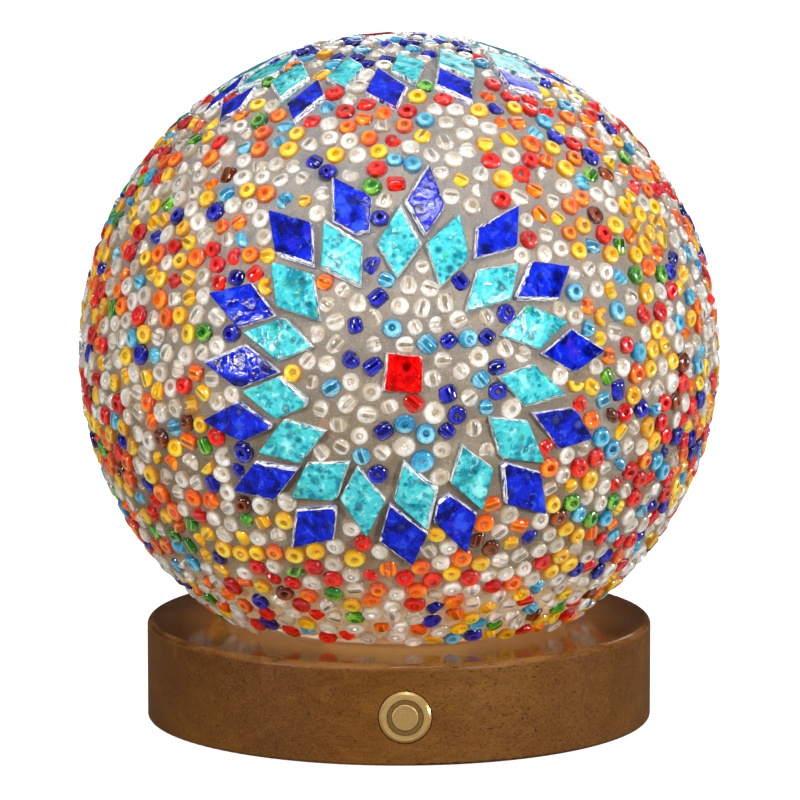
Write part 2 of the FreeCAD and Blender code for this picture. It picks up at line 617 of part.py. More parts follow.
comps = [
    rounded_box(-5, 1, 34.5, 40.5, BZ1 + 0.02, BZ1 + 3.2, 0.6),
    box(4, 9, 34.5, 38.5, BZ1 + 0.02, BZ1 + 1.5),
    box(-4.5, -1.5, 41.5, 44.5, BZ1 + 0.02, BZ1 + 1.1),
    box(2.5, 4.1, 42, 42.8, BZ1 + 0.02, BZ1 + 0.8),
    box(5, 6.6, 40.4, 41.2, BZ1 + 0.02, BZ1 + 0.8),
    cyl(1.8, BZ1 + 0.02, BZ1 + 4.6, -10.4, 41.2),
]
keep("board_components", *comps)
shell = rounded_box(-4.47, 4.47, 50.0, 57.6, PORT_Z - 1.6, PORT_Z + 1.6, 1.55, Y)
shell = shell.cut(rounded_box(-4.17, 4.17, 50.5, 58.5, PORT_Z - 1.3, PORT_Z + 1.3, 1.25, Y))
keep("usb_socket", solid_of(shell))
keep("usb_tongue", box(-3.35, 3.35, 50.52, 56.4, PORT_Z - 0.35, PORT_Z + 0.35))

# ================================================================ internal leads
LEAD = 0.5
keep("battery_lead_plus",
     wire_tube([(-8.4, 25.02, 8.0), (-8.4, 28.1, 8.0), (-8.2, 28.1, 13.3), (-6.0, 32.0, 13.3), (-6.0, 32.0, BZ1 + 0.02)], LEAD))
keep("battery_lead_minus",
     wire_tube([(-12.6, 25.02, 7.4), (-12.6, 28.1, 7.4), (-12.3, 28.1, 13.1), (-9.6, 31.9, 13.1), (-9.6, 31.9, BZ1 + 0.02)], LEAD))
keep("led_lead_plus",
     wire_tube([(8.0, 31.8, BZ1 + 0.02), (8.0, 31.8, 13.6), (7.2, 26.8, 13.2), (4.6, 18.2, 12.2), (2.2, 10.0, 12.5), (1.0, 4.9, 15.2), (0.85, 4.1, 19.2), (0.75, 4.1, 23.03)], LEAD))
keep("led_lead_minus",
     wire_tube([(10.6, 31.8, BZ1 + 0.02), (10.6, 31.8, 13.4), (9.2, 26.6, 12.0), (6.2, 17.0, 10.8), (2.6, 8.6, 10.7), (-0.2, 4.6, 13.6), (-0.9, 4.0, 18.4), (-0.75, 4.0, 23.03)], LEAD))
keep("switch_lead_a",
     wire_tube([(1.6, -42.38, SWITCH_Z + 1.2), (1.6, -39.0, SWITCH_Z + 1.2), (5.4, -33.0, 12.2), (11.4, -23.5, 10.2), (17.0, -9.5, 8.0), (19.0, 6.0, 7.0), (16.4, 20.0, 6.4), (11.0, 29.5, 5.4), (8.0, 34.6, 5.2), (8.0, 34.6, BZ0 - 0.02)], LEAD))
keep("switch_lead_b",
     wire_tube([(1.6, -42.38, SWITCH_Z - 1.2), (1.6, -38.8, SWITCH_Z - 1.2), (6.2, -32.2, 9.0), (13.2, -22.2, 7.2), (19.6, -8.0, 5.8), (21.8, 7.6, 5.2), (19.4, 21.6, 4.9), (14.6, 31.0, 4.7), (11.2, 36.2, 4.9), (11.2, 36.2, BZ0 - 0.02)], LEAD))

# ================================================================ write the sub-parts
os.makedirs("parts", exist_ok=True)
for old in os.listdir("parts"):
    if old.endswith(".step"):
        os.remove(os.path.join("parts", old))
for name, solids in made.items():
    shape = solids[0] if len(solids) == 1 else Part.makeCompound(solids)
    bad = [i for i, s in enumerate(solids) if not s.isValid() or s.Volume <= 0]
    print(name, len(solids), "solids", round(shape.Volume, 2), "mm3", "BAD %s" % bad if bad else "")
    shape.exportStep("parts/%s.step" % name)
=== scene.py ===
import math
import bpy
import numpy as np
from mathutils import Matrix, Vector, noise as mnoise


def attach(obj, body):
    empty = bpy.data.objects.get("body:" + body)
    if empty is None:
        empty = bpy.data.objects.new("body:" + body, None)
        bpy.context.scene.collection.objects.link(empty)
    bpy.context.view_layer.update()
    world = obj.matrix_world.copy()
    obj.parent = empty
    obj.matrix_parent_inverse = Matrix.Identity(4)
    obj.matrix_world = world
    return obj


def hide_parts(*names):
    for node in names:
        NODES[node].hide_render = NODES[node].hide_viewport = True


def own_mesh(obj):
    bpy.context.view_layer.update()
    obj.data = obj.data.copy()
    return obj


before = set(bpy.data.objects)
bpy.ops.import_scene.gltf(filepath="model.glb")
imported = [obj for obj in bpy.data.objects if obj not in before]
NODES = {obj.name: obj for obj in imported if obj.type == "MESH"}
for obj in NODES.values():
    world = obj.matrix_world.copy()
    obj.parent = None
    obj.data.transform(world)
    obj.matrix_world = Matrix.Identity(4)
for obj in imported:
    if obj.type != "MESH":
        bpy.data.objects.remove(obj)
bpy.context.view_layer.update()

MM = 0.001
rng = np.random.default_rng(90417)
LAMP, BUTTON = "lamp", "button"

# sizes repeated from the CAD, mm
GLOBE_Z = 87.4
COAT_R = 76.2
CENTRE = np.array([0.0, 0.0, GLOBE_Z])


# ------------------------------------------------------------------ shader helpers
def srgb(r, g, b, a=1.0):
    def f(c):
        c = c / 255.0
        return c / 12.92 if c <= 0.04045 else ((c + 0.055) / 1.055) ** 2.4
    return (f(r), f(g), f(b), a)


class Tree:
    def __init__(self, name):
        self.mat = bpy.data.materials.new(name)
        self.mat.use_nodes = True
        self.nt = self.mat.node_tree
        self.nt.nodes.clear()
        self.out = self.nt.nodes.new("ShaderNodeOutputMaterial")

    def put(self, socket, value):
        if isinstance(value, bpy.types.NodeSocket):
            self.nt.links.new(value, socket)
        elif value is not None:
            socket.default_value = value

    def node(self, kind, props=None, **ins):
        n = self.nt.nodes.new(kind)
        for k, v in (props or {}).items():
            setattr(n, k, v)
        for k, v in ins.items():
            key = k.replace("_", " ")
            self.put(n.inputs[key], v)
        return n

    def m(self, op, a, b=None, c=None, clamp=False):
        n = self.nt.nodes.new("ShaderNodeMath")
        n.operation = op
        n.use_clamp = clamp
        self.put(n.inputs[0], a)
        self.put(n.inputs[1], b)
        self.put(n.inputs[2], c)
        return n.outputs[0]

    def vm(self, op, a, b=None, scale=None):
        n = self.nt.nodes.new("ShaderNodeVectorMath")
        n.operation = op
        self.put(n.inputs[0], a)
        self.put(n.inputs[1], b)
        if scale is not None:
            self.put(n.inputs["Scale"], scale)
        return n.outputs[0]

    def mix(self, fac, a, b, blend="MIX"):
        n = self.nt.nodes.new("ShaderNodeMix")
        n.data_type = "RGBA"
        n.blend_type = blend
        n.clamp_factor = True
        self.put(n.inputs["Factor"], fac)
        self.put(n.inputs[6], a)
        self.put(n.inputs[7], b)
        return n.outputs[2]

    def fmix(self, fac, a, b):
        n = self.nt.nodes.new("ShaderNodeMix")
        n.data_type = "FLOAT"
        n.clamp_factor = True
        self.put(n.inputs["Factor"], fac)
        self.put(n.inputs[2], a)
        self.put(n.inputs[3], b)
        return n.outputs[0]

    def step(self, x, lo, hi):
        """Smooth 0 to 1 as x goes from lo to hi."""
        n = self.nt.nodes.new("ShaderNodeMapRange")
        n.interpolation_type = "SMOOTHSTEP"
        self.put(n.inputs["Value"], x)
        n.inputs["From Min"].default_value = lo
        n.inputs["From Max"].default_value = hi
        return n.outputs["Result"]

    def noise(self, vec, scale, detail=2.0, rough=0.5, dist=0.0, out=0):
        n = self.node("ShaderNodeTexNoise", None, Vector=vec, Scale=scale, Detail=detail, Roughness=rough, Distortion=dist)
        return n.outputs[out]

    def voronoi(self, vec, scale, feature="F1", rand=1.0, out="Distance"):
        n = self.node("ShaderNodeTexVoronoi", {"feature": feature}, Vector=vec, Scale=scale, Randomness=rand)
        return n.outputs[out]

    def ramp(self, fac, stops, mode="LINEAR"):
        n = self.nt.nodes.new("ShaderNodeValToRGB")
        n.color_ramp.interpolation = mode
        while len(n.color_ramp.elements) < len(stops):
            n.color_ramp.elements.new(0.5)
        for e, (p, c) in zip(n.color_ramp.elements, stops):
            e.position = p
            e.color = c
        self.put(n.inputs[0], fac)
        return n.outputs[0]

    def attr(self, name, out="Fac"):
        n = self.nt.nodes.new("ShaderNodeAttribute")
        n.attribute_name = name
        return n.outputs[out]

    def split(self, vec):
        return self.node("ShaderNodeSeparateXYZ", None, Vector=vec).outputs

    def coords(self):
        return self.node("ShaderNodeTexCoord").outputs["Object"]

    def scaled(self, vec, s):
        return self.node("ShaderNodeMapping", None, Vector=vec, Scale=s).outputs[0]

    def bump(self, height, strength, distance, normal=None):
        n = self.node("ShaderNodeBump", None, Height=height, Strength=strength, Distance=distance)
        if normal is not None:
            self.put(n.inputs["Normal"], normal)
        return n.outputs[0]

    def principled(self, **ins):
        return self.node("ShaderNodeBsdfPrincipled", None, **ins)

    def finish(self, shader):
        self.nt.links.new(shader, self.out.inputs["Surface"])
        return self.mat


def set_mat(obj, *mats):
    obj.data.materials.clear()
    for m in mats:
        obj.data.materials.append(m)


# ------------------------------------------------------------------ materials
def wood_material():
    t = Tree("lacquered_wood")
    p = t.coords()
    warp = t.vm("SCALE", t.node("ShaderNodeTexNoise", None, Vector=t.scaled(p, (9, 16, 16)), Scale=1.0, Detail=2.0).outputs["Color"], scale=0.02)
    q = t.vm("ADD", p, warp)
    broad = t.noise(t.scaled(q, (12, 26, 34)), 1.0, 3.0, 0.55, 0.4)
    rings = t.noise(t.scaled(q, (7, 90, 70)), 1.0, 3.0, 0.6, 0.6)
    fibre = t.noise(t.scaled(q, (110, 1100, 1000)), 1.0, 4.0, 0.65)
    mottle = t.noise(t.scaled(p, (170, 170, 260)), 1.0, 4.0, 0.65, 0.5)
    grit = t.noise(t.scaled(p, (1300, 1700, 2200)), 1.0, 3.0, 0.7)
    col = t.ramp(broad, [(0.30, srgb(92, 54, 17)), (0.52, srgb(107, 66, 23)), (0.74, srgb(122, 80, 31))])
    col = t.mix(t.m("MULTIPLY", t.step(rings, 0.42, 0.68), 0.30), col, srgb(84, 47, 13))
    col = t.mix(t.m("MULTIPLY", t.step(fibre, 0.40, 0.66), 0.30), col, srgb(80, 44, 12))
    col = t.mix(t.m("MULTIPLY", t.step(mottle, 0.50, 0.72), 0.30), col, srgb(134, 89, 36))
    col = t.mix(t.m("MULTIPLY", t.step(mottle, 0.48, 0.30), 0.30), col, srgb(82, 45, 13))
    col = t.mix(t.m("MULTIPLY", t.step(grit, 0.52, 0.66), 0.26), col, srgb(146, 98, 44))
    col = t.mix(t.m("MULTIPLY", t.step(grit, 0.46, 0.34), 0.36), col, srgb(62, 30, 8))
    # vessels: short dark dashes along the grain, thicker in some places than in others
    dash = t.noise(t.scaled(q, (820, 2300, 2000)), 1.0, 1.5, 0.5)
    where = t.noise(t.scaled(p, (20, 24, 36)), 1.0, 1.0)
    pores = t.m("MULTIPLY", t.step(dash, 0.63, 0.69), t.step(where, 0.44, 0.62))
    speck = t.m("MULTIPLY", t.step(t.noise(t.scaled(p, (1300, 1500, 1500)), 1.0, 1.0, 0.5, 1.0), 0.64, 0.71), 0.75)
    dark = t.m("MAXIMUM", pores, speck)
    col = t.mix(t.m("MULTIPLY", dark, 0.78), col, srgb(44, 20, 7))
    # painted highlight: a lighter band along the rounded top edge, broken up by noise
    xyz = t.split(p)
    rad = t.m("SQRT", t.m("ADD", t.m("MULTIPLY", xyz[0], xyz[0]), t.m("MULTIPLY", xyz[1], xyz[1])))
    edge = t.m("MULTIPLY", t.step(rad, 0.0580, 0.0592), t.step(xyz[2], 0.0220, 0.0234))
    edge_highlight = t.m("MULTIPLY", edge, t.step(t.noise(t.scaled(p, (90, 90, 500)), 1.0, 3.0, 0.6), 0.36, 0.62))
    col = t.mix(t.m("MULTIPLY", edge_highlight, 0.30), col, srgb(176, 122, 70))
    h = t.m("SUBTRACT", t.m("MULTIPLY", fibre, 0.35), dark)
    top = t.step(xyz[2], 0.0222, 0.0238)
    n1 = t.bump(t.m("ADD", h, t.m("MULTIPLY", t.noise(p, 210, 2.0), 1.6)), 0.16, 0.00022)
    rough = t.fmix(top, t.m("MULTIPLY_ADD", broad, 0.12, 0.38), t.m("MULTIPLY_ADD", mottle, 0.10, 0.07))
    # warm light that the LEDs throw out round the neck
    spill = t.m("MULTIPLY", top, t.m("POWER", t.step(rad, 0.0605, 0.0400), 1.5))
    b = t.principled(Base_Color=col, Roughness=rough, IOR=1.5, Specular_IOR_Level=t.fmix(top, 0.12, 0.15), Normal=n1,
                     Emission_Color=srgb(255, 168, 88), Emission_Strength=t.m("MULTIPLY", spill, 0.12))
    return t.finish(b.outputs[0])


def brass_material(name, col, dark, rough, turned=True):
    t = Tree(name)
    p = t.coords()
    xyz = t.split(t.vm("SUBTRACT", p, (0.0, 0.0, 0.0117)))
    rad = t.m("SQRT", t.m("ADD", t.m("MULTIPLY", xyz[0], xyz[0]), t.m("MULTIPLY", xyz[2], xyz[2])))
    ringv = t.node("ShaderNodeCombineXYZ", None, X=t.m("MULTIPLY", rad, 6500.0 if turned else 900.0), Y=0.0, Z=t.m("MULTIPLY", xyz[1], 700.0)).outputs[0]
    lines = t.noise(ringv, 1.0, 3.0, 0.6)
    blot = t.noise(p, 420, 2.0)
    c = t.mix(t.m("MULTIPLY", t.step(lines, 0.35, 0.7), 0.45), col, dark)
    c = t.mix(t.m("MULTIPLY", t.step(blot, 0.5, 0.75), 0.25), c, dark)
    n = t.bump(lines, 0.18, 0.00006)
    b = t.principled(Base_Color=c, Metallic=0.68, Roughness=t.m("MULTIPLY_ADD", blot, 0.14, rough), Normal=n)
    return t.finish(b.outputs[0])


def plain_material(name, col, rough=0.5, metal=0.0, grain=600.0, spread=0.18, bump=0.08, **more):
    t = Tree(name)
    p = t.coords()
    n = t.noise(p, grain, 3.0, 0.6)
    lo = tuple(c * (1 - spread) for c in col[:3]) + (1,)
    hi = tuple(min(1.0, c * (1 + spread)) for c in col[:3]) + (1,)
    c = t.ramp(n, [(0.3, lo), (0.7, hi)])
    b = t.principled(Base_Color=c, Metallic=metal, Roughness=t.m("MULTIPLY_ADD", n, 0.12, rough - 0.06), Normal=t.bump(n, bump, 0.0002), **more)
    return t.finish(b.outputs[0])


def clear_for_lamps(t, shader, tint):
    """Light from lamps passes the glass with its tint."""
    path = t.node("ShaderNodeLightPath")
    clear = t.node("ShaderNodeBsdfTransparent", None, Color=tint)
    mix = t.node("ShaderNodeMixShader", None, Fac=path.outputs["Is Shadow Ray"])
    t.nt.links.new(shader, mix.inputs[1])
    t.nt.links.new(clear.outputs[0], mix.inputs[2])
    return mix.outputs[0]


def neck_glass_material():
    t = Tree("neck_glass")
    p = t.coords()
    n = t.noise(t.scaled(p, (60, 60, 160)), 1.0, 2.0)
    # painted glow: the neck glass glows a little warm, standing in for the LED light inside it
    b = t.principled(Base_Color=t.ramp(n, [(0.3, srgb(250, 236, 210)), (0.7, srgb(255, 248, 236))]), Roughness=0.07, IOR=1.48, Transmission_Weight=0.85,
                     Emission_Color=srgb(255, 214, 156), Emission_Strength=0.05, Normal=t.bump(n, 0.1, 0.0006))
    return t.finish(clear_for_lamps(t, b.outputs[0], (0.95, 0.92, 0.86, 1)))


def bead_material(name, body, deep, pale, hole, outline_shade, core, see=0.2, glow=0.1, crescent=0.6):
    """Pressed glass: a clear coloured body, the thread hole seen through it as a darker stripe, painted shade as a
    darker outline and on one side, painted light gathered along its lower side, and a painted glow in its own colour.
    """
    t = Tree(name)
    hs, side, tint = t.split(t.attr("bead_a", "Vector"))
    tint2, fill, out = t.split(t.attr("bead_b", "Vector"))
    low = t.attr("bead_low")
    p = t.coords()
    cloud = t.noise(t.vm("ADD", p, t.node("ShaderNodeCombineXYZ", None, X=tint, Y=tint2, Z=0.0).outputs[0]), 700.0, 2.0, 0.6, 0.8)
    c = t.mix(t.step(tint, 0.50, 1.0), body, deep)
    c = t.mix(t.m("MULTIPLY", t.step(tint2, 0.66, 1.0), 0.30), c, pale)
    c = t.mix(t.m("MULTIPLY", t.step(cloud, 0.47, 0.32), 0.60), c, deep)
    # fine seams and bubbles in the pressed glass
    seam = t.noise(t.scaled(p, (1900, 1900, 1900)), 1.0, 2.0, 0.7, 1.2)
    c = t.mix(t.m("MULTIPLY", t.step(seam, 0.55, 0.66), 0.30), c, pale)
    c = t.mix(t.m("MULTIPLY", t.step(seam, 0.46, 0.36), 0.58), c, deep)
    # thick glass at the middle shows what is under it
    mid = t.m("MULTIPLY", t.step(out, 0.62, 0.34), t.m("MULTIPLY_ADD", t.step(cloud, 0.42, 0.60), 0.65, 0.30))
    c = t.mix(t.m("MULTIPLY", mid, side), c, core)
    # painted light and shade: the side the light comes from is painted darker, and a painted crescent of gathered light
    # lies opposite it
    c = t.mix(t.m("MULTIPLY", t.step(low, 0.05, -0.55), 0.72), c, deep)
    gather = t.m("MULTIPLY", t.step(low, 0.16, 0.50), t.m("MULTIPLY", t.step(out, 0.34, 0.58), t.step(out, 0.98, 0.82)))
    gather = t.m("MULTIPLY", gather, t.m("MULTIPLY_ADD", t.step(cloud, 0.40, 0.60), 0.6, 0.4))
    c = t.mix(t.m("MULTIPLY", gather, crescent), c, pale)
    a = t.m("ABSOLUTE", hs)
    wide = t.m("MULTIPLY_ADD", tint, 0.14, 0.20)
    bore = t.m("MULTIPLY", t.step(t.m("SUBTRACT", wide, a), -0.05, 0.10), t.step(out, 0.92, 0.50))
    c = t.mix(t.m("MULTIPLY", t.m("MULTIPLY", bore, side), t.m("MULTIPLY_ADD", tint2, 0.50, 0.30)), c, hole)
    # a bright line beside the hole, where the bore's wall mirrors the light
    line = t.m("MAXIMUM", t.m("SUBTRACT", t.step(t.m("SUBTRACT", t.m("ADD", wide, 0.13), a), -0.03, 0.07), t.step(t.m("SUBTRACT", wide, a), -0.05, 0.10)), 0.0)
    c = t.mix(t.m("MULTIPLY", t.m("MULTIPLY", line, side), 0.50), c, pale)
    # seen along the bore: painted shade as a dark line round it, a painted light ring outside that, and cement inside
    flat = t.m("SUBTRACT", 1.0, side)
    ring = t.m("MULTIPLY", t.m("MULTIPLY", t.step(a, 0.40, 0.31), t.step(a, 0.17, 0.23)), flat)
    c = t.mix(t.m("MULTIPLY", ring, t.m("MULTIPLY_ADD", tint2, 0.55, 0.20)), c, hole)
    bright = t.m("MULTIPLY", t.m("MULTIPLY", t.step(a, 0.46, 0.54), t.step(a, 0.72, 0.60)), flat)
    c = t.mix(t.m("MULTIPLY", bright, t.m("MULTIPLY_ADD", tint2, 0.35, 0.10)), c, pale)
    # painted shade: each bead is darker round its outline
    c = t.mix(t.m("MULTIPLY", t.step(out, 0.76, 0.99), 0.90), c, outline_shade)
    inside = t.step(fill, 0.45, 0.8)
    c = t.mix(t.m("MULTIPLY", inside, 0.72), c, srgb(176, 160, 138))
    bumpn = t.bump(cloud, 0.08, 0.0004)
    # painted glow: each bead glows in its own colour, standing in for light passing through the glass
    b = t.principled(Base_Color=c, Roughness=0.045, IOR=1.5, Specular_IOR_Level=0.55, Transmission_Weight=see, Normal=bumpn,
                     Emission_Color=c, Emission_Strength=glow)
    return t.finish(clear_for_lamps(t, b.outputs[0], body))


def tile_material(name, body, light, deep, spot, halo, odd, blot=1.0):
    """Hand-rolled sheet glass over a silvered coloured back: mottled colour with round spots, and a wavy glossy face."""
    t = Tree(name)
    v = t.attr("tile_v", "Vector")          # mm in the sheet, and a number of the tile's own
    edge = t.attr("tile_edge")
    wv = t.vm("ADD", v, t.vm("SCALE", t.node("ShaderNodeTexNoise", None, Vector=v, Scale=0.55, Detail=2.0).outputs["Color"], scale=1.5))
    sv = t.vm("ADD", v, t.vm("SCALE", t.node("ShaderNodeTexNoise", None, Vector=v, Scale=0.8, Detail=1.0).outputs["Color"], scale=0.6))
    n1 = t.noise(v, 0.20, 2.0, 0.5, 0.4)
    n2 = t.noise(wv, 0.50, 3.0, 0.55, 0.6)
    n3 = t.noise(wv, 1.7, 3.0, 0.6)
    c = t.ramp(n1, [(0.36, deep), (0.47, body), (0.60, body), (0.70, light)])
    c = t.mix(t.m("MULTIPLY", t.step(n2, 0.54, 0.68), 0.8), c, light)
    c = t.mix(t.m("MULTIPLY", t.step(n2, 0.46, 0.34), 0.8), c, deep)
    # round spots of two sizes, each of its own strength
    for scale, lo, hi, k, off in ((0.33 / blot, 0.45, 0.14, 0.90, (0.0, 0.0, 0.0)), (0.52 / blot, 0.42, 0.14, 0.75, (31.0, 17.0, 5.0))):
        q = t.vm("ADD", sv, off)
        vd = t.voronoi(q, scale, rand=0.95)
        vc = t.split(t.voronoi(q, scale, rand=0.95, out="Color"))
        disc = t.m("MULTIPLY", t.step(vd, lo, hi), t.step(vc[0], 0.15, 0.62))
        c = t.mix(t.m("MULTIPLY", disc, k), c, spot)
        # painted highlight: some spots get a lighter centre
        lit = t.m("MULTIPLY", t.step(vd, lo * 0.62, hi * 0.45), t.step(vc[1], 0.55, 0.8))
        c = t.mix(t.m("MULTIPLY", lit, 0.30), c, halo)
        oddly = t.m("MULTIPLY", t.step(vd, lo, hi), t.step(vc[2], 0.86, 0.93))
        c = t.mix(t.m("MULTIPLY", oddly, 0.6), c, odd)
    # small sparks where the wavy face catches the light, thicker towards one end of some pieces
    lane = t.step(t.noise(v, 0.11, 1.0), 0.50, 0.66)
    fine = t.noise(t.scaled(wv, (1.0, 2.1, 1.0)), 3.1, 2.0, 0.6)
    spark = t.m("MULTIPLY", t.step(fine, 0.66, 0.71), t.m("MULTIPLY_ADD", lane, 0.75, 0.25))
    c = t.mix(spark, c, halo)
    hot = t.m("MULTIPLY", t.step(fine, 0.73, 0.76), t.m("MULTIPLY_ADD", lane, 0.8, 0.2))
    c = t.mix(hot, c, srgb(240, 248, 255))
    c = t.mix(t.m("MULTIPLY", t.step(edge, 0.55, 0.05), 0.70), c, deep)
    wave = t.m("ADD", t.m("MULTIPLY", n1, 1.0), t.m("ADD", t.m("MULTIPLY", n2, 0.5), t.m("MULTIPLY", n3, 0.10)))
    nb = t.bump(wave, 0.5, 0.0006)
    # painted glow: the tiles glow a little in their own colour, standing in for light passing through the glass
    b = t.principled(Base_Color=c, Roughness=0.05, IOR=1.5, Specular_IOR_Level=0.36, Normal=nb, Emission_Color=c, Emission_Strength=0.10)
    return t.finish(b.outputs[0])


def tile_edge_material(name, tint, dark):
    """Broken glass edge: frosty white and silver streaks along it, partly the frosted break and partly a painted
    reflection of the clear side wall, with the tile's colour showing in thin lines.
    """
    t = Tree(name)
    v = t.attr("tile_band", "Vector")       # mm along the side, mm in from it
    s = t.noise(t.scaled(v, (0.50, 3.4, 1.0)), 1.0, 3.0, 0.6, 0.5)
    s2 = t.noise(v, 2.4, 2.0, 0.6)
    s3 = t.noise(t.scaled(v, (0.25, 5.5, 1.0)), 1.0, 1.0, 0.5)
    c = t.ramp(s, [(0.32, dark), (0.38, tint), (0.44, srgb(176, 178, 182)), (0.51, srgb(246, 243, 238)), (0.72, srgb(255, 252, 248))])
    c = t.mix(t.m("MULTIPLY", t.step(s3, 0.56, 0.62), 0.85), c, dark)
    c = t.mix(t.m("MULTIPLY", t.step(s2, 0.62, 0.70), 0.6), c, srgb(120, 112, 108))
    wall = t.step(t.split(v)[1], -0.05, -0.5)
    c = t.mix(t.m("MULTIPLY", wall, 0.55), c, tint)
    # painted glow: the edge glows a little in its own colour, standing in for light passing through the glass
    b = t.principled(Base_Color=c, Roughness=t.m("MULTIPLY_ADD", s2, 0.25, 0.08), IOR=1.5, Coat_Weight=0.5, Coat_Roughness=0.05,
                     Normal=t.bump(t.m("ADD", s, t.m("MULTIPLY", s2, 0.5)), 0.6, 0.0003), Emission_Color=c, Emission_Strength=0.10)
    return t.finish(b.outputs[0])


def cement_material():
    t = Tree("white_cement")
    p = t.coords()
    xyz = t.split(p)
    up = t.step(xyz[2], 0.060, 0.150)
    low = t.step(xyz[2], 0.052, 0.030)
    right = t.step(xyz[0], -0.06, 0.07)
    # painted shade: darker and warmer towards the bottom; a little lighter and greyer towards the right
    c = t.mix(up, srgb(122, 106, 84), srgb(138, 135, 134))
    c = t.mix(t.m("MULTIPLY", right, 0.35), c, srgb(134, 125, 112))
    # painted light: the lowest cement, near the neck, is painted light and warm
    c = t.mix(t.m("MULTIPLY", low, 0.85), c, srgb(214, 182, 134))
    big = t.noise(p, 60, 3.0, 0.6)
    c = t.mix(t.m("MULTIPLY", t.step(big, 0.42, 0.70), 0.40), c, srgb(176, 162, 144))
    fine = t.noise(p, 900, 4.0, 0.65)
    c = t.mix(t.m("MULTIPLY", t.step(fine, 0.46, 0.30), 0.45), c, srgb(104, 88, 66))
    sand = t.step(t.noise(p, 2600, 1.0), 0.66, 0.74)
    c = t.mix(t.m("MULTIPLY", sand, 0.5), c, srgb(222, 214, 200))
    rust = t.step(t.noise(t.scaled(p, (150, 150, 260)), 1.0, 2.0, 0.6, 0.6), 0.66, 0.74)
    c = t.mix(t.m("MULTIPLY", rust, 0.35), c, srgb(196, 132, 96))
    h = t.m("ADD", t.m("MULTIPLY", big, 0.6), t.m("MULTIPLY", fine, 0.5))
    # painted glow: the whole bed glows a little, the lowest part more, standing in for the LED light from inside
    b = t.principled(Base_Color=c, Roughness=0.55, IOR=1.45, Specular_IOR_Level=0.3, Normal=t.bump(h, 0.45, 0.0006),
                     Emission_Color=c, Emission_Strength=t.m("MULTIPLY_ADD", low, 0.26, 0.04))
    return t.finish(b.outputs[0])


def floor_material():
    t = Tree("pale_floor")
    n = t.noise(t.coords(), 3.0, 2.0)
    c = t.ramp(n, [(0.3, (0.80, 0.80, 0.80, 1)), (0.7, (0.82, 0.82, 0.82, 1))])
    # the paper is lit evenly, but throws little of that light back on the lamp
    path = t.node("ShaderNodeLightPath")
    c = t.mix(path.outputs["Is Camera Ray"], (0.22, 0.21, 0.19, 1), c)
    b = t.principled(Base_Color=c, Roughness=0.85, Specular_IOR_Level=0.1, Emission_Color=(1, 1, 1, 1), Emission_Strength=t.fmix(path.outputs["Is Camera Ray"], 0.02, 0.92))
    return t.finish(b.outputs[0])


# ------------------------------------------------------------------ mesh helpers
def new_mesh(name, verts, faces, mats, body=LAMP, smooth=True, mat_index=None, attrs=None):
    """verts in mm. faces is a list of (n, k) arrays of vertex numbers, k of any width."""
    me = bpy.data.meshes.new(name)
    verts = np.asarray(verts, float) * MM
    faces = [np.asarray(f, np.int32) for f in faces if len(f)]
    loops = np.concatenate([f.ravel() for f in faces])
    width = np.concatenate([np.full(len(f), f.shape[1]) for f in faces])
    me.vertices.add(len(verts))
    me.vertices.foreach_set("co", verts.ravel().astype(np.float32))
    me.loops.add(len(loops))
    me.loops.foreach_set("vertex_index", loops)
    me.polygons.add(len(width))
    me.polygons.foreach_set("loop_start", (np.cumsum(width) - width).astype(np.int32))
    me.update(calc_edges=True)
    for m in mats:
        me.materials.append(m)
    if mat_index is not None:
        me.polygons.foreach_set("material_index", np.asarray(mat_index, np.int32))
    me.polygons.foreach_set("use_smooth", np.full(len(width), smooth) if isinstance(smooth, bool) else np.asarray(smooth, bool))
    for key, (kind, data) in (attrs or {}).items():
        a = me.attributes.new(key, kind, "POINT")
        a.data.foreach_set("vector" if kind == "FLOAT_VECTOR" else "value", np.asarray(data, np.float32).ravel())
    me.validate()
    me.update()
    o = bpy.data.objects.new(name, me)
    bpy.context.scene.collection.objects.link(o)
    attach(o, body)
    return o


def islands(obj):
    """The node's separate solids, each as its vertices and its faces cut into triangles."""
    me = obj.data
    co = np.array([v.co for v in me.vertices]) / MM
    key = {}
    rep = np.zeros(len(co), int)
    for i, k in enumerate(map(tuple, np.round(co * 200).astype(int))):
        rep[i] = key.setdefault(k, i)
    parent = {i: i for i in set(rep)}

    def find(i):
        while parent[i] != i:
            parent[i] = parent[parent[i]]
            i = parent[i]
        return i
    polys = [[rep[j] for j in p.vertices] for p in me.polygons]
    for p in polys:
        for j in p[1:]:
            a, b = find(p[0]), find(j)
            if a != b:
                parent[b] = a
    groups = {}
    for p in polys:
        groups.setdefault(find(p[0]), []).append(p)
    out = []
    for g in sorted(groups):
        idx = sorted(set(j for p in groups[g] for j in p))
        tri = [(co[p[0]], co[p[k]], co[p[k + 1]]) for p in groups[g] for k in range(1, len(p) - 1)]
        out.append((co[idx], tri))
    return out


def unit(v):
    v = np.asarray(v, float)
    return v / np.linalg.norm(v, axis=-1, keepdims=True)


def frame_of(n):
    """Two unit vectors square to n."""
    a = np.array([0.0, 0.0, 1.0]) if abs(n[2]) < 0.9 else np.array([1.0, 0.0, 0.0])
    u = unit(np.cross(a, n))
    return u, np.cross(n, u)


def direction(lon, lat):
    a, b = math.radians(lon), math.radians(lat)
    return np.array([math.sin(a) * math.cos(b), -math.cos(a) * math.cos(b), math.sin(b)])


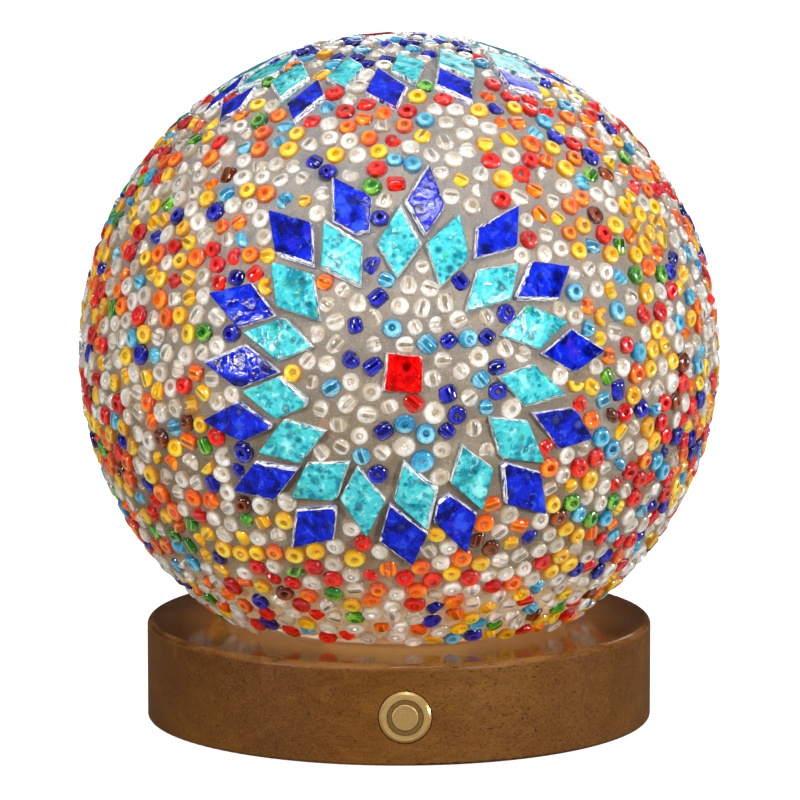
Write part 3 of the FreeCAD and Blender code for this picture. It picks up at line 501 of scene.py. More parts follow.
# ------------------------------------------------------------------ tiles, from the CAD's own footprints
def read_tiles(node):
    found = []
    for co, tris in islands(NODES[node]):
        out = unit(co.mean(0) - CENTRE)
        best, n = -1, out
        for a, b, c in tris:
            m = np.cross(b - a, c - a)
            area = np.linalg.norm(m)
            if area > 1 and (m / area) @ out > 0.97 and area > best:
                best, n = area, m / area
        h = (co - CENTRE) @ n
        top = co[h > h.mean()]
        c = top.mean(0)
        u, w = frame_of(n)
        q = np.c_[(top - c) @ u, (top - c) @ w]
        order = np.argsort(np.arctan2(q[:, 1], q[:, 0]))
        q = q[order]
        keep = [i for i in range(len(q)) if np.linalg.norm(q[i] - q[i - 1]) > 0.05]
        found.append({"n": n, "c": c, "u": u, "w": w, "poly": q[keep]})
    return found


tiles = {k: read_tiles(k + "_tiles") for k in ("cobalt", "turquoise", "red")}


def sides_of(poly):
    """Outward normals of a convex polygon's sides, and each side's distance from the origin."""
    e = np.roll(poly, -1, 0) - poly
    n = np.c_[e[:, 1], -e[:, 0]] / np.linalg.norm(e, axis=1, keepdims=True)
    return n, (n * poly).sum(1)


def reach(n, h, ang):
    """Distance from the origin to the outline in each direction, and the side that is met there."""
    d = np.c_[np.cos(ang), np.sin(ang)] @ n.T
    r = np.where(d > 1e-6, h[None] / np.maximum(d, 1e-6), 1e9)
    k = r.argmin(1)
    return r[np.arange(len(ang)), k], k


def corners(n, h):
    """Angles at which the outline turns from one side to the next."""
    fine = np.linspace(0, 2 * math.pi, 720, endpoint=False)
    _, k = reach(n, h, fine)
    out = []
    for i in range(len(fine)):
        a, b = k[i - 1], k[i]
        if a != b:
            det = n[a, 0] * n[b, 1] - n[a, 1] * n[b, 0]
            if abs(det) > 1e-6:
                x = (h[a] * n[b, 1] - h[b] * n[a, 1]) / det
                y = (n[a, 0] * h[b] - n[b, 0] * h[a]) / det
                out.append(math.atan2(y, x) % (2 * math.pi))
    return out


def build_tiles(name, items, mats, seed):
    r = np.random.default_rng(seed)
    V, Q, T, TV, TE, TB = [], [], [], [], [], []
    base = 0
    for k, tile in enumerate(items):
        poly = tile["poly"]
        mid = poly.mean(0)
        poly = poly - mid
        n, h = sides_of(poly)
        lens = np.linalg.norm(np.roll(poly, -1, 0) - poly, axis=1)
        m0 = len(poly)
        # the corners are nipped a little
        cn = unit(poly)
        cut = r.uniform(0.04, 0.26, m0) * np.where(r.random(m0) < 0.15, 2.2, 1.0)
        ch = (cn * poly).sum(1) - cut
        d = r.uniform(0.08, 0.15, m0)
        longs = [i for i in range(m0) if lens[i] > 4]
        r.shuffle(longs)
        wide = longs[: int(r.choice([0, 1, 2], p=[0.34, 0.50, 0.16]))]
        for i in wide:
            d[i] = r.uniform(0.35, 0.85)
        N = np.vstack([n, cn])
        HO = np.concatenate([h - 0.02, ch])
        HM = np.concatenate([h - d * r.uniform(0.40, 0.60, m0), ch - 0.12])
        HI = np.concatenate([h - d, ch - 0.26])
        ang = [x for H in (HO, HI) for x in corners(N, H)]
        size = reach(N, HO, np.linspace(0, 6.283, 40))[0].mean()
        ang += list(np.arange(0, 2 * math.pi, 0.62 / size))
        ang = np.unique(np.round(np.array(ang) % (2 * math.pi), 3))
        keep = [0]
        for i in range(1, len(ang)):
            if ang[i] - ang[keep[-1]] > 0.012:
                keep.append(i)
        ang = ang[keep]
        M = len(ang)
        ro, side = reach(N, HO, ang)
        rm, _ = reach(N, HM, ang)
        ri, _ = reach(N, HI, ang)
        # chips along the sides
        rough = np.abs(r.normal(0, 0.035, M))
        rough_in = np.abs(r.normal(0, 0.03, M)) + np.where(np.isin(side, wide), np.abs(r.normal(0, 0.10, M)), 0)
        chip = np.zeros(M)
        for _ in range(int(r.integers(1, 4))):
            c, w, dp = r.uniform(0, 6.283), r.uniform(0.04, 0.12), r.uniform(0.15, 0.55)
            da = np.abs((ang - c + math.pi) % (2 * math.pi) - math.pi)
            chip += dp * np.exp(-(da / w) ** 2)
        ro = ro - rough - 0.5 * chip
        rm = np.minimum(rm - rough - 0.8 * chip, ro - 0.03)
        ri = np.minimum(ri - rough_in - 1.0 * chip, rm - 0.03)
        r2 = ri - 0.40
        wob = r.uniform(-0.22, 0.22, M)
        levels = [(ro, np.full(M, -2.95)), (ro, -0.95 + wob), (rm, -0.42 + 0.6 * wob), (ri, np.full(M, -0.04)), (r2, np.full(M, 0.0))]
        cs, sn = np.cos(ang), np.sin(ang)
        flat = np.vstack([np.c_[rr * cs, rr * sn] for rr, _ in levels])
        hh = np.concatenate([z for _, z in levels])
        P = tile["c"] + (flat[:, :1] + mid[0]) * tile["u"] + (flat[:, 1:] + mid[1]) * tile["w"] + hh[:, None] * tile["n"]
        spin = r.uniform(0, 6.28)
        c, q = math.cos(spin), math.sin(spin)
        # a piece cut anywhere from the sheet: its own place in the sheet's pattern
        TV.append(np.c_[flat[:, 0] * c - flat[:, 1] * q, flat[:, 0] * q + flat[:, 1] * c, np.full(len(flat), 13.0 * k + 3.7 * r.random())])
        te = np.zeros(5 * M)
        te[4 * M:] = 1
        TE.append(te)
        seg = np.r_[0, np.cumsum(np.linalg.norm(np.diff(np.c_[ro * cs, ro * sn], axis=0), axis=1))]
        across = np.concatenate([np.full(M, -2.0), np.zeros(M), ro - rm, ro - ri, ro - r2])
        TB.append(np.c_[np.tile(seg, 5) + 31.0 * k, across, np.tile(side * 3.1, 5)])
        i0 = np.arange(M)
        i1 = (i0 + 1) % M
        for lev in range(4):
            Q.append((np.c_[lev * M + i0, lev * M + i1, (lev + 1) * M + i1, (lev + 1) * M + i0] + base, 1 if lev < 3 else 0))
        V.append(P)
        T.append(4 * M + i0 + base)
        base += len(P)
    faces = [q for q, _ in Q] + [t[None] for t in T]
    mi = np.concatenate([np.full(len(q), m) for q, m in Q] + [np.zeros(1, int) for _ in T])
    sm = np.concatenate([np.full(len(q), m == 0) for q, m in Q] + [np.ones(1, bool) for _ in T])
    return new_mesh(name, np.vstack(V), faces, mats, smooth=sm, mat_index=mi,
                    attrs={"tile_v": ("FLOAT_VECTOR", np.vstack(TV)), "tile_edge": ("FLOAT", np.concatenate(TE)), "tile_band": ("FLOAT_VECTOR", np.vstack(TB))})


# ------------------------------------------------------------------ packing the beads
LOWEST = math.radians(-54.2)
BED = 74.6
AXES = [direction(-0.6, 4.4), direction(120.0, 4.4), direction(240.0, 4.4), unit(np.array([-0.063, 0.004, 0.998]))]
all_tiles = tiles["cobalt"] + tiles["turquoise"] + tiles["red"]


def tile_gap(points):
    """For points on the bed sphere: how far each is outside the nearest tile (negative inside), and the way out."""
    best = np.full(len(points), 1e9)
    way = np.zeros((len(points), 3))
    for t in all_tiles:
        near = np.where(((points - (t["c"] - CENTRE)) ** 2).sum(1) < 15.0 ** 2)[0]
        if not len(near):
            continue
        p = points[near]
        k = ((t["c"] - CENTRE) @ t["n"]) / (p @ t["n"])
        rel = p * k[:, None] - (t["c"] - CENTRE)
        q = np.c_[rel @ t["u"], rel @ t["w"]]
        poly = t["poly"]
        nxt = np.roll(poly, -1, 0)
        e = nxt - poly
        le = np.linalg.norm(e, axis=1)
        out = np.c_[e[:, 1], -e[:, 0]] / le[:, None]
        d = q[:, None] - poly[None]
        s = (d * out[None]).sum(2)
        inside = (s < 0).all(1)
        f = np.clip((d * e[None]).sum(2) / (le * le)[None], 0, 1)
        v = d - f[..., None] * e[None]
        dd = np.linalg.norm(v, axis=2)
        i1 = dd.argmin(1)
        i2 = s.argmax(1)
        r = np.arange(len(q))
        signed = np.where(inside, s[r, i2], dd[r, i1])
        g = np.where(inside[:, None], out[i2], v[r, i1] / np.maximum(dd[r, i1], 1e-6)[:, None])
        less = signed < best[near]
        idx = near[less]
        best[idx] = signed[less]
        way[idx] = g[less][:, :1] * t["u"] + g[less][:, 1:] * t["w"]
    return best, way


def on_sphere(n, r):
    z = r.uniform(math.sin(LOWEST), 1, n)
    a = r.uniform(0, 2 * math.pi, n)
    s = np.sqrt(1 - z * z)
    return np.c_[s * np.cos(a), s * np.sin(a), z] * BED


def pairs_of(P, reach):
    """Pairs of points nearer than reach, from a grid of cells."""
    cell = np.floor(P / reach).astype(int)
    cell -= cell.min(0) - 1
    dims = cell.max(0) + 2
    key = (cell[:, 0] * dims[1] + cell[:, 1]) * dims[2] + cell[:, 2]
    order = np.argsort(key, kind="stable")
    ks = key[order]
    A, B = [], []
    for dx in (-1, 0, 1):
        for dy in (-1, 0, 1):
            for dz in (-1, 0, 1):
                want = key + (dx * dims[1] + dy) * dims[2] + dz
                lo = np.searchsorted(ks, want, "left")
                hi = np.searchsorted(ks, want, "right")
                n = hi - lo
                if not n.any():
                    continue
                a = np.repeat(np.arange(len(P)), n)
                off = np.arange(n.sum()) - np.repeat(np.cumsum(n) - n, n)
                b = order[np.repeat(lo, n) + off]
                m = a < b
                A.append(a[m])
                B.append(b[m])
    A, B = np.concatenate(A), np.concatenate(B)
    d = P[A] - P[B]
    m = (d * d).sum(1) < reach * reach
    return A[m], B[m]


def relax(P, R, steps, slack, gain=0.9):
    for k in range(steps):
        if k % 4 == 0:
            a, b = pairs_of(P, 6.2)
        v = P[a] - P[b]
        d = np.maximum(np.linalg.norm(v, axis=1), 1e-3)
        lack = R[a] + R[b] + slack - d
        on = lack > 0
        push = (0.5 * gain * lack[on] / d[on])[:, None] * v[on]
        move = np.zeros_like(P)
        np.add.at(move, a[on], push)
        np.add.at(move, b[on], -push)
        size = np.linalg.norm(move, axis=1)
        move *= np.minimum(1.0, 0.8 / np.maximum(size, 1e-6))[:, None]
        P = unit(P + move) * BED
        if k % 2 == 0 or k > steps - 6:
            g, way = tile_gap(P)
            into = R * 0.93 + 0.10 - g
            hit = into > 0
            P[hit] += way[hit] * into[hit][:, None]
        low = P[:, 2] < math.sin(LOWEST) * BED
        P[low, 2] = math.sin(LOWEST) * BED + 0.05
        P = unit(P) * BED
    return P


def clearance(points, beads, radii):
    """Gap from each point to the nearest bead's rim."""
    out = np.full(len(points), 1e9, np.float32)
    B = beads.astype(np.float32)
    for i in range(0, len(points), 3000):
        P = points[i:i + 3000].astype(np.float32)
        d2 = np.maximum(2 * BED * BED - 2 * P @ B.T, 0)
        out[i:i + 3000] = (np.sqrt(d2) - radii[None]).min(1)
    return out


def pack_beads(total):
    r = np.random.default_rng(4711)
    R = np.clip(r.normal(2.32, 0.15, total), 1.95, 2.65)
    cand = on_sphere(40000, r)
    g, _ = tile_gap(cand)
    P = cand[g > 1.9][:total]
    P = relax(P, R, 40, 0.5, 0.6)
    P = relax(P, R, 70, 0.05)
    for rnd in range(3):
        # what is badly squeezed goes to the largest holes
        g, _ = tile_gap(P)
        a, b = pairs_of(P, 6.2)
        over = (R[a] + R[b]) - np.linalg.norm(P[a] - P[b], axis=1)
        load = np.zeros(len(P))
        np.add.at(load, a[over > 0.12], over[over > 0.12])
        np.add.at(load, b[over > 0.12], over[over > 0.12])
        load += np.where(g < R * 0.75, 3.0, 0.0)
        out = set(np.argsort(-load)[: int((load > 1.0).sum() * 0.5)])
        keep = np.array([i for i in range(len(P)) if i not in out])
        P, R = P[keep], R[keep]
        cand = on_sphere(30000, r)
        g, _ = tile_gap(cand)
        cand = cand[g > 1.75]
        c = clearance(cand, P, R)
        o = np.argsort(-c)
        o = o[c[o] > 1.65]
        chosen = []
        for i in o[:4000]:
            if all(((cand[i] - cand[j]) ** 2).sum() > 16.0 for j in chosen):
                chosen.append(i)
        if chosen:
            P = np.vstack([P, cand[chosen]])
            R = np.concatenate([R, np.clip(r.normal(2.18, 0.14, len(chosen)), 1.85, 2.5)])
        P = relax(P, R, 36, 0.05)
    g, _ = tile_gap(P)
    a, b = pairs_of(P, 6.2)
    over = (R[a] + R[b]) - np.linalg.norm(P[a] - P[b], axis=1)
    drop = set(np.where(g < R * 0.70)[0])
    for i in np.argsort(-over):
        if over[i] < 0.70:
            break
        if a[i] not in drop and b[i] not in drop:
            drop.add(b[i])
    keep = np.array([i for i in range(len(P)) if i not in drop])
    return P[keep], R[keep]


bead_p, bead_r = pack_beads(2120)
print("beads", len(bead_p))


# ------------------------------------------------------------------ one bead
SEG = 14


def bead_profile(R, L, h, c1, c2):
    a = [(h, L - c2), (h + 0.3 * c2, L - 0.3 * c2), (h + c2, L), (R - c1, L * 1.0)]
    for deg in (32, 62):
        a.append((R - c1 + c1 * math.sin(math.radians(deg)), L - c1 + c1 * math.cos(math.radians(deg))))
    a.append((R * 0.995, L - c1))
    a.append((R * 1.012, 0.0))
    b = [(x, -z) for x, z in a[:-1]][::-1]
    return np.array(a + b)


def filled_profile(R, L, h, c1, c2, floor):
    """As above, with the bore stopped by cement at the level floor. The first and last rings are closed flat."""
    a = [(h * 0.93, floor), (h, floor + 0.12)] + [tuple(p) for p in bead_profile(R, L, h, c1, c2)[:8]]
    return np.array(a + [(R * 0.99, -L + c1 * 0.8), (R - c1 * 0.8, -L)])


def lathe(profile, arc=2 * math.pi, seg=SEG, filled=False):
    """Vertices, faces and turn angles of a lathed bead. arc under a full turn gives a broken piece with closed ends."""
    full = arc > 6.2
    n = len(profile)
    k = seg if full else max(5, int(seg * arc / 6.283)) + 1
    th = np.arange(k) * (arc / (k if full else k - 1))
    x = profile[None, :, 0] * np.cos(th)[:, None]
    y = profile[None, :, 0] * np.sin(th)[:, None]
    z = np.broadcast_to(profile[None, :, 1], x.shape)
    v = np.stack([x, y, z], -1).reshape(-1, 3)
    i = np.arange(k if full else k - 1)
    a, b = i * n, ((i + 1) % k) * n
    js = np.arange(n - 1 if filled else n)
    jj = (js + 1) % n
    q = np.stack([a[:, None] + js, b[:, None] + js, b[:, None] + jj, a[:, None] + jj], -1).reshape(-1, 4)
    caps = []
    if filled:
        ring = np.arange(k) * n
        caps = [ring[None], (ring + n - 1)[::-1][None]]
    elif not full:
        j = np.arange(n // 2 - 1)
        o = (k - 1) * n
        q = np.vstack([q, np.c_[j, j + 1, n - 2 - j, n - 1 - j], np.c_[o + n - 1 - j, o + n - 2 - j, o + j + 1, o + j]])
    return v, q, caps, np.repeat(th, n)


COLOURS = {
    "clear": dict(body=srgb(254, 250, 242), deep=srgb(188, 174, 150), pale=srgb(255, 255, 254), hole=srgb(106, 91, 70), outline_shade=srgb(136, 120, 96), core=srgb(160, 146, 124), see=0.50, glow=0.20, crescent=0.9),
    "red": dict(body=srgb(240, 6, 2), deep=srgb(176, 2, 2), pale=srgb(255, 64, 28), hole=srgb(90, 2, 2), outline_shade=srgb(126, 2, 2), core=srgb(196, 3, 2), see=0.16, glow=0.17),
    "yellow": dict(body=srgb(255, 208, 3), deep=srgb(226, 154, 2), pale=srgb(255, 242, 90), hole=srgb(124, 80, 2), outline_shade=srgb(150, 94, 2), core=srgb(226, 160, 2), see=0.22, glow=0.15),
    "orange": dict(body=srgb(252, 110, 2), deep=srgb(220, 72, 2), pale=srgb(255, 184, 40), hole=srgb(112, 38, 2), outline_shade=srgb(150, 46, 2), core=srgb(220, 76, 2), see=0.18, glow=0.16),
    "sky": dict(body=srgb(70, 190, 226), deep=srgb(14, 128, 176), pale=srgb(176, 238, 250), hole=srgb(6, 66, 92), outline_shade=srgb(6, 78, 112), core=srgb(34, 148, 188), see=0.28, glow=0.17),
    "cobalt": dict(body=srgb(12, 12, 160), deep=srgb(3, 3, 88), pale=srgb(58, 68, 236), hole=srgb(1, 1, 30), outline_shade=srgb(2, 2, 56), core=srgb(4, 4, 96), see=0.14, glow=0.15),
    "green": dict(body=srgb(52, 160, 16), deep=srgb(8, 100, 10), pale=srgb(178, 236, 80), hole=srgb(10, 52, 5), outline_shade=srgb(8, 64, 6), core=srgb(24, 118, 8), see=0.26, glow=0.14),
    "brown": dict(body=srgb(122, 44, 6), deep=srgb(68, 19, 3), pale=srgb(204, 98, 26), hole=srgb(32, 10, 3), outline_shade=srgb(44, 14, 3), core=srgb(82, 26, 4), see=0.20, glow=0.10),
}
GENERAL = [("clear", 0.355), ("red", 0.15), ("yellow", 0.19), ("orange", 0.125), ("sky", 0.075), ("cobalt", 0.045), ("green", 0.045), ("brown", 0.02)]
INNER = [("clear", 0.56), ("cobalt", 0.22), ("sky", 0.17), ("yellow", 0.03), ("red", 0.02)]


def choose(table, r):
    names, w = zip(*table)
    w = np.array(w) / sum(w)
    return names[r.choice(len(names), p=w)]


def colour_of(p, r):
    d = unit(p)
    for k, ax in enumerate(AXES):
        ang = math.degrees(math.acos(np.clip(d @ ax, -1, 1)))
        if ang < 19.0:
            if k == 3:
                return choose(INNER, r)
            up = unit(np.array([0, 0, 1.0]) - ax * ax[2])
            right = np.cross(up, ax)
            b = math.degrees(math.atan2(d @ right, d @ up))
            east = math.exp(-((b - 70) / 55.0) ** 2)
            south = math.exp(-(((b % 360) - 150) / 50.0) ** 2)
            west = 1.0 if (-130 < b < 20) else 0.0
            table = [("clear", 0.45 + 0.25 * west), ("cobalt", 0.15 + 0.08 * east), ("sky", 0.06 + 0.30 * max(east, south)), ("yellow", 0.02), ("red", 0.012)]
            return choose(table, r)
        if ang < 27.0:
            return choose([("clear", 0.62), ("yellow", 0.08), ("red", 0.08), ("orange", 0.07), ("cobalt", 0.06), ("sky", 0.06), ("green", 0.03)], r)
    f = mnoise.noise(Vector(d * 2.1 + 7.0))
    g = mnoise.noise(Vector(d * 2.6 + 19.0))
    table = dict(GENERAL)
    table["clear"] *= 1.0 + 0.9 * f
    table["red"] *= 1.0 + 0.9 * g
    table["orange"] *= 1.0 - 0.6 * f
    table["yellow"] *= 1.0 - 0.5 * g
    return choose(list(table.items()), r)


def make_beads():
    r = np.random.default_rng(1213)
    store = {c: [] for c in COLOURS}
    for p, rad in zip(bead_p, bead_r):
        n = unit(p)
        d_ax = [math.degrees(math.acos(np.clip(n @ ax, -1, 1))) for ax in AXES]
        inner = min(d_ax) < 19.0
        name = colour_of(p, r)
        roll = r.random()
        p_side = 0.66 if inner else 0.27
        p_tilt = 0.12
        R = rad * r.uniform(0.97, 1.04)
        h = R * r.uniform(0.16, 0.28)
        u, w = frame_of(n)
        a = r.uniform(0, 2 * math.pi)
        tang = u * math.cos(a) + w * math.sin(a)
        kind = "side" if roll < p_side else ("tilt" if roll < p_side + p_tilt else "flat")
        broken = r.random() < 0.035
        if kind == "flat":
            tilt = math.radians(abs(r.normal(0, 9)))
            ez = unit(n * math.cos(tilt) + tang * math.sin(tilt))
            L = R * r.uniform(0.58, 0.74)
        elif kind == "tilt":
            tilt = math.radians(r.uniform(28, 62))
            ez = unit(n * math.cos(tilt) + tang * math.sin(tilt))
            L = R * r.uniform(0.66, 0.85)
        else:
            tilt = math.radians(r.normal(0, 8))
            ez = unit(tang * math.cos(tilt) + n * math.sin(tilt))
            R *= 0.93
            L = R * r.uniform(0.78, 1.06)
        ex = n - ez * (n @ ez)
        ex = unit(ex) if np.linalg.norm(ex) > 0.2 else unit(np.cross(ez, frame_of(ez)[0]))
        ey = np.cross(ez, ex)
        c1 = min(L, R) * (r.uniform(0.38, 0.60) if kind == "side" else r.uniform(0.52, 0.76))
        c2 = min(0.42, (R - h) * 0.32)
        filled = kind == "flat" and not broken
        if filled:
            open_bore = r.random() < (0.85 if name == "clear" else 0.55)
            prof = filled_profile(R, L, h, c1, c2, L - c2 - (r.uniform(0.35, 0.9) if open_bore else 0.12))
            v, q, caps, th = lathe(prof, filled=True)
            fill = np.tile(np.r_[1.0, 1.0, np.zeros(len(prof) - 2)], SEG) * (1.0 if open_bore else 0.0)
            fill[np.tile(np.arange(len(prof)) >= len(prof) - 1, SEG)] = 0.0
        else:
            arc = r.uniform(2.2, 4.8) if broken else 2 * math.pi
            v, q, caps, th = lathe(bead_profile(R, L, h, c1, c2), arc)
            fill = np.zeros(len(v))
        # uneven pressing: slanted ends, oval section, a bore off its centre
        v = v.copy()
        rr = 1 + 0.035 * np.cos(2 * th + r.uniform(0, 6.3)) + 0.02 * np.cos(3 * th + r.uniform(0, 6.3))
        v[:, 0] *= rr
        v[:, 1] *= rr
        sl = r.normal(0, 0.05)
        v[:, 2] += sl * v[:, 0] * np.sign(v[:, 2]) + r.normal(0, 0.04) * v[:, 1]
        off = r.normal(0, 0.07, 2)
        near = np.clip(1 - (np.hypot(v[:, 0], v[:, 1]) - h) / (R - h), 0, 1)
        v[:, 0] += off[0] * near
        v[:, 1] += off[1] * near
        if broken:
            spin = r.uniform(0, 6.283)
            cs, sn = math.cos(spin), math.sin(spin)
            v = np.c_[v[:, 0] * cs - v[:, 1] * sn, v[:, 0] * sn + v[:, 1] * cs, v[:, 2]]
        W = np.stack([ex, ey, ez])
        rel = v @ W
        high = (rel @ n).max()
        sink = r.uniform(0.0, 0.35) + (0.20 if kind != "flat" else 0.0)
        world = rel + n * (COAT_R - 0.12 - sink - high)
        over = np.linalg.norm(world, axis=1).max() - (COAT_R - 0.03)
        if over > 0:
            world -= n * over
        world = world + CENTRE
        side = float(np.clip((0.8 - abs(ez @ n)) / 0.45, 0, 1))
        zd = np.cross(ez, n)
        if np.linalg.norm(zd) > 0.35:
            hs = (rel @ unit(zd)) / R
        else:
            hs = np.hypot(v[:, 0], v[:, 1]) / R
        t1, t2 = r.random(), r.random()
        # how far out each point is in the bead's outline, and how far to the side where the painted light gathers
        ta = unit(zd) if np.linalg.norm(zd) > 0.35 else u
        tb = np.cross(n, ta)
        pa, pb = rel @ ta, rel @ tb
        out = np.minimum(np.hypot(pa / np.abs(pa).max(), pb / np.abs(pb).max()), 1.0)
        turn = r.normal(-1.9, 0.9)
        e1, e2 = frame_of(n)
        low = (rel @ (e1 * math.cos(turn) + e2 * math.sin(turn))) / R
        store[name].append((world, q, caps, np.c_[hs, np.full(len(v), side), np.full(len(v), t1)], np.c_[np.full(len(v), t2), fill, out], low))
    per = 190000
    for cname, items in store.items():
        mat = bead_material("bead_" + cname, **COLOURS[cname])
        chunks, cur, tri = [], [], 0
        for it in items:
            k = 2 * len(it[1]) + 24
            if tri + k > per:
                chunks.append(cur)
                cur, tri = [], 0
            cur.append(it)
            tri += k
        if cur:
            chunks.append(cur)
        for ci, ch in enumerate(chunks):
            base, V, F, C, A, B, W = 0, [], [], [], [], [], []
            for world, q, caps, a, b, low in ch:
                V.append(world)
                F.append(q + base)
                C += [c + base for c in caps]
                A.append(a)
                B.append(b)
                W.append(low)
                base += len(world)
            nm = "beads_" + cname + ("" if len(chunks) == 1 else "_%d" % (ci + 1))
            o = new_mesh(nm, np.vstack(V), [np.vstack(F)] + ([np.vstack(C)] if C else []), [mat],
                         attrs={"bead_a": ("FLOAT_VECTOR", np.vstack(A)), "bead_b": ("FLOAT_VECTOR", np.vstack(B)), "bead_low": ("FLOAT", np.concatenate(W))})
            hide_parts("bead_coat")
        print("beads", cname, len(items))


make_beads()

# ------------------------------------------------------------------ cement between the beads
def make_cement():
    LON, r0 = 450, 74.15
    lats = np.linspace(LOWEST - 0.012, math.pi / 2 - 0.012, 172)
    lon = np.arange(LON) * 2 * math.pi / LON
    D = np.stack([np.cos(lats)[:, None] * np.cos(lon), np.cos(lats)[:, None] * np.sin(lon), np.broadcast_to(np.sin(lats)[:, None], (len(lats), LON))], -1)
    flat = D.reshape(-1, 3)
    near = np.full(len(flat), 1e9, np.float32)
    dirs = unit(bead_p).astype(np.float32)
    for i in range(0, len(flat), 4000):
        c = np.clip(flat[i:i + 4000].astype(np.float32) @ dirs.T, -1, 1)
        near[i:i + 4000] = (np.sqrt(np.maximum(2 - 2 * c, 0)) * BED - bead_r[None]).min(1)
    lump = np.array([mnoise.noise(Vector(d * 14.0)) * 0.6 + mnoise.noise(Vector(d * 37.0)) * 0.4 for d in flat])
    h = r0 + 0.30 * lump + 0.55 * np.exp(-((near - 0.1) / 0.55) ** 2)
    h[near < -1.2] = 73.7
    h = np.minimum(h, 75.2)
    V = flat * h[:, None] + CENTRE
    n, k = len(lats), LON
    F = []
    idx = np.arange(n * k).reshape(n, k)
    a = idx[:-1]
    b = idx[1:]
    quads = np.stack([a, np.roll(a, -1, 1), np.roll(b, -1, 1), b], -1).reshape(-1, 4)
    # the pole, and the lip that turns in to the glass under the lowest beads
    pole = len(V)
    V = np.vstack([V, [[0, 0, GLOBE_Z + r0]]])
    lip = []
    for rr, dl in ((72.6, -0.024), (71.25, -0.026)):
        la = LOWEST + dl
        lip.append(np.c_[np.cos(la) * np.cos(lon), np.cos(la) * np.sin(lon), np.full(k, np.sin(la))] * rr + CENTRE)
    l0 = len(V)
    V = np.vstack([V] + lip)
    first = idx[0]
    la = l0 + np.arange(k)
    lb = la + k
    more = [np.stack([la, np.roll(la, -1), np.roll(first, -1), first], -1), np.stack([lb, np.roll(lb, -1), np.roll(la, -1), la], -1)]
    quads = np.vstack([quads] + more)
    fan = np.c_[idx[-1], np.roll(idx[-1], -1), np.full(k, pole)]
    o = new_mesh("cement_bedding", V, [quads, fan], [cement_material()])
    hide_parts("cement_bed")
    return o


make_cement()

# ------------------------------------------------------------------ the tiles
m_cob = tile_material("tile_cobalt", srgb(9, 34, 200), srgb(46, 80, 236), srgb(3, 8, 104), srgb(2, 3, 60), srgb(110, 136, 252), srgb(60, 30, 196), 1.7)
m_tur = tile_material("tile_turquoise", srgb(70, 198, 206), srgb(146, 234, 232), srgb(18, 134, 152), srgb(6, 84, 104), srgb(206, 252, 250), srgb(70, 196, 110), 1.0)
m_red = tile_material("tile_red", srgb(226, 3, 3), srgb(246, 20, 12), srgb(160, 0, 2), srgb(74, 0, 2), srgb(252, 90, 70), srgb(150, 0, 0), 1.1)
for key, mat, tint, dark, seed in (("cobalt", m_cob, srgb(60, 84, 190), srgb(8, 14, 74), 5), ("turquoise", m_tur, srgb(84, 176, 190), srgb(10, 70, 104), 6),
                                   ("red", m_red, srgb(196, 60, 50), srgb(84, 4, 4), 7)):
    o = build_tiles(key + "_glass_tiles", tiles[key], [mat, tile_edge_material("tile_edge_" + key, tint, dark)], seed)
    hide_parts(key + "_tiles")

# ------------------------------------------------------------------ materials of the CAD nodes that stay
wood = wood_material()
steel = plain_material("zinc_steel", srgb(188, 188, 190), 0.32, 1.0, 900)
white_plastic = plain_material("white_plastic", srgb(232, 232, 228), 0.5, 0.0, 700, 0.05)
silicone = plain_material("silicone", srgb(214, 208, 198), 0.45, 0.0, 500, 0.08)
black_plastic = plain_material("black_plastic", srgb(24, 24, 25), 0.45, 0.0, 800, 0.3)
brass = brass_material("turned_brass", srgb(232, 192, 122), srgb(160, 122, 66), 0.22)
brass_cap = brass_material("brushed_brass_cap", srgb(216, 176, 110), srgb(152, 116, 64), 0.30)
plain_brass = plain_material("nut_brass", srgb(196, 158, 92), 0.35, 1.0, 700)
own = {
    "wood_base": wood,
    "bottom_cover": plain_material("fibreboard", srgb(78, 56, 40), 0.7, 0.0, 1600, 0.3, 0.25),
    "cover_screws": steel,
    "base_pad": plain_material("foam_pad", srgb(20, 20, 21), 0.9, 0.0, 2600, 0.5, 0.5),
    "led_carrier": white_plastic,
    "carrier_screws": steel,
    "led_board": plain_material("white_board", srgb(236, 236, 232), 0.4, 0.0, 300, 0.03),
    "led_chips": plain_material("led_phosphor", srgb(250, 224, 90), 0.3, 0.0, 900, 0.1, 0.05, Emission_Color=srgb(255, 224, 170), Emission_Strength=1.5),
    "led_diffuser": plain_material("frosted_dome", srgb(250, 240, 222), 0.55, 0.0, 300, 0.03, 0.05, Emission_Color=srgb(255, 208, 140), Emission_Strength=0.55),
    "glass_globe": neck_glass_material(),
    "neck_gasket": silicone,
    "switch_bezel": brass,
    "switch_light_ring": plain_material("light_ring", srgb(104, 76, 28), 0.45, 0.0, 1500, 0.25, 0.1),
    "switch_cap": brass_cap,
    "switch_core": black_plastic,
    "switch_spring": steel,
    "switch_nut": plain_brass,
    "switch_washer": steel,
    "switch_terminals": plain_brass,
    "battery_cell": plain_material("pouch_foil", srgb(176, 178, 184), 0.35, 0.9, 160, 0.1, 0.3),
    "battery_tape": plain_material("foam_tape", srgb(222, 222, 214), 0.85, 0.0, 2200, 0.1, 0.4),
    "charger_board": plain_material("green_board", srgb(18, 92, 46), 0.35, 0.0, 500, 0.15),
    "board_standoffs": white_plastic,
    "board_screws": steel,
    "board_components": black_plastic,
    "usb_socket": steel,
    "usb_tongue": black_plastic,
    "battery_lead_plus": plain_material("red_insulation", srgb(176, 20, 18), 0.5, 0.0, 900, 0.1),
    "battery_lead_minus": black_plastic,
    "led_lead_plus": plain_material("red_insulation_b", srgb(176, 20, 18), 0.5, 0.0, 900, 0.1),
    "led_lead_minus": black_plastic,
    "switch_lead_a": white_plastic,
    "switch_lead_b": black_plastic,
}
for n, mat in own.items():
    set_mat(NODES[n], mat)
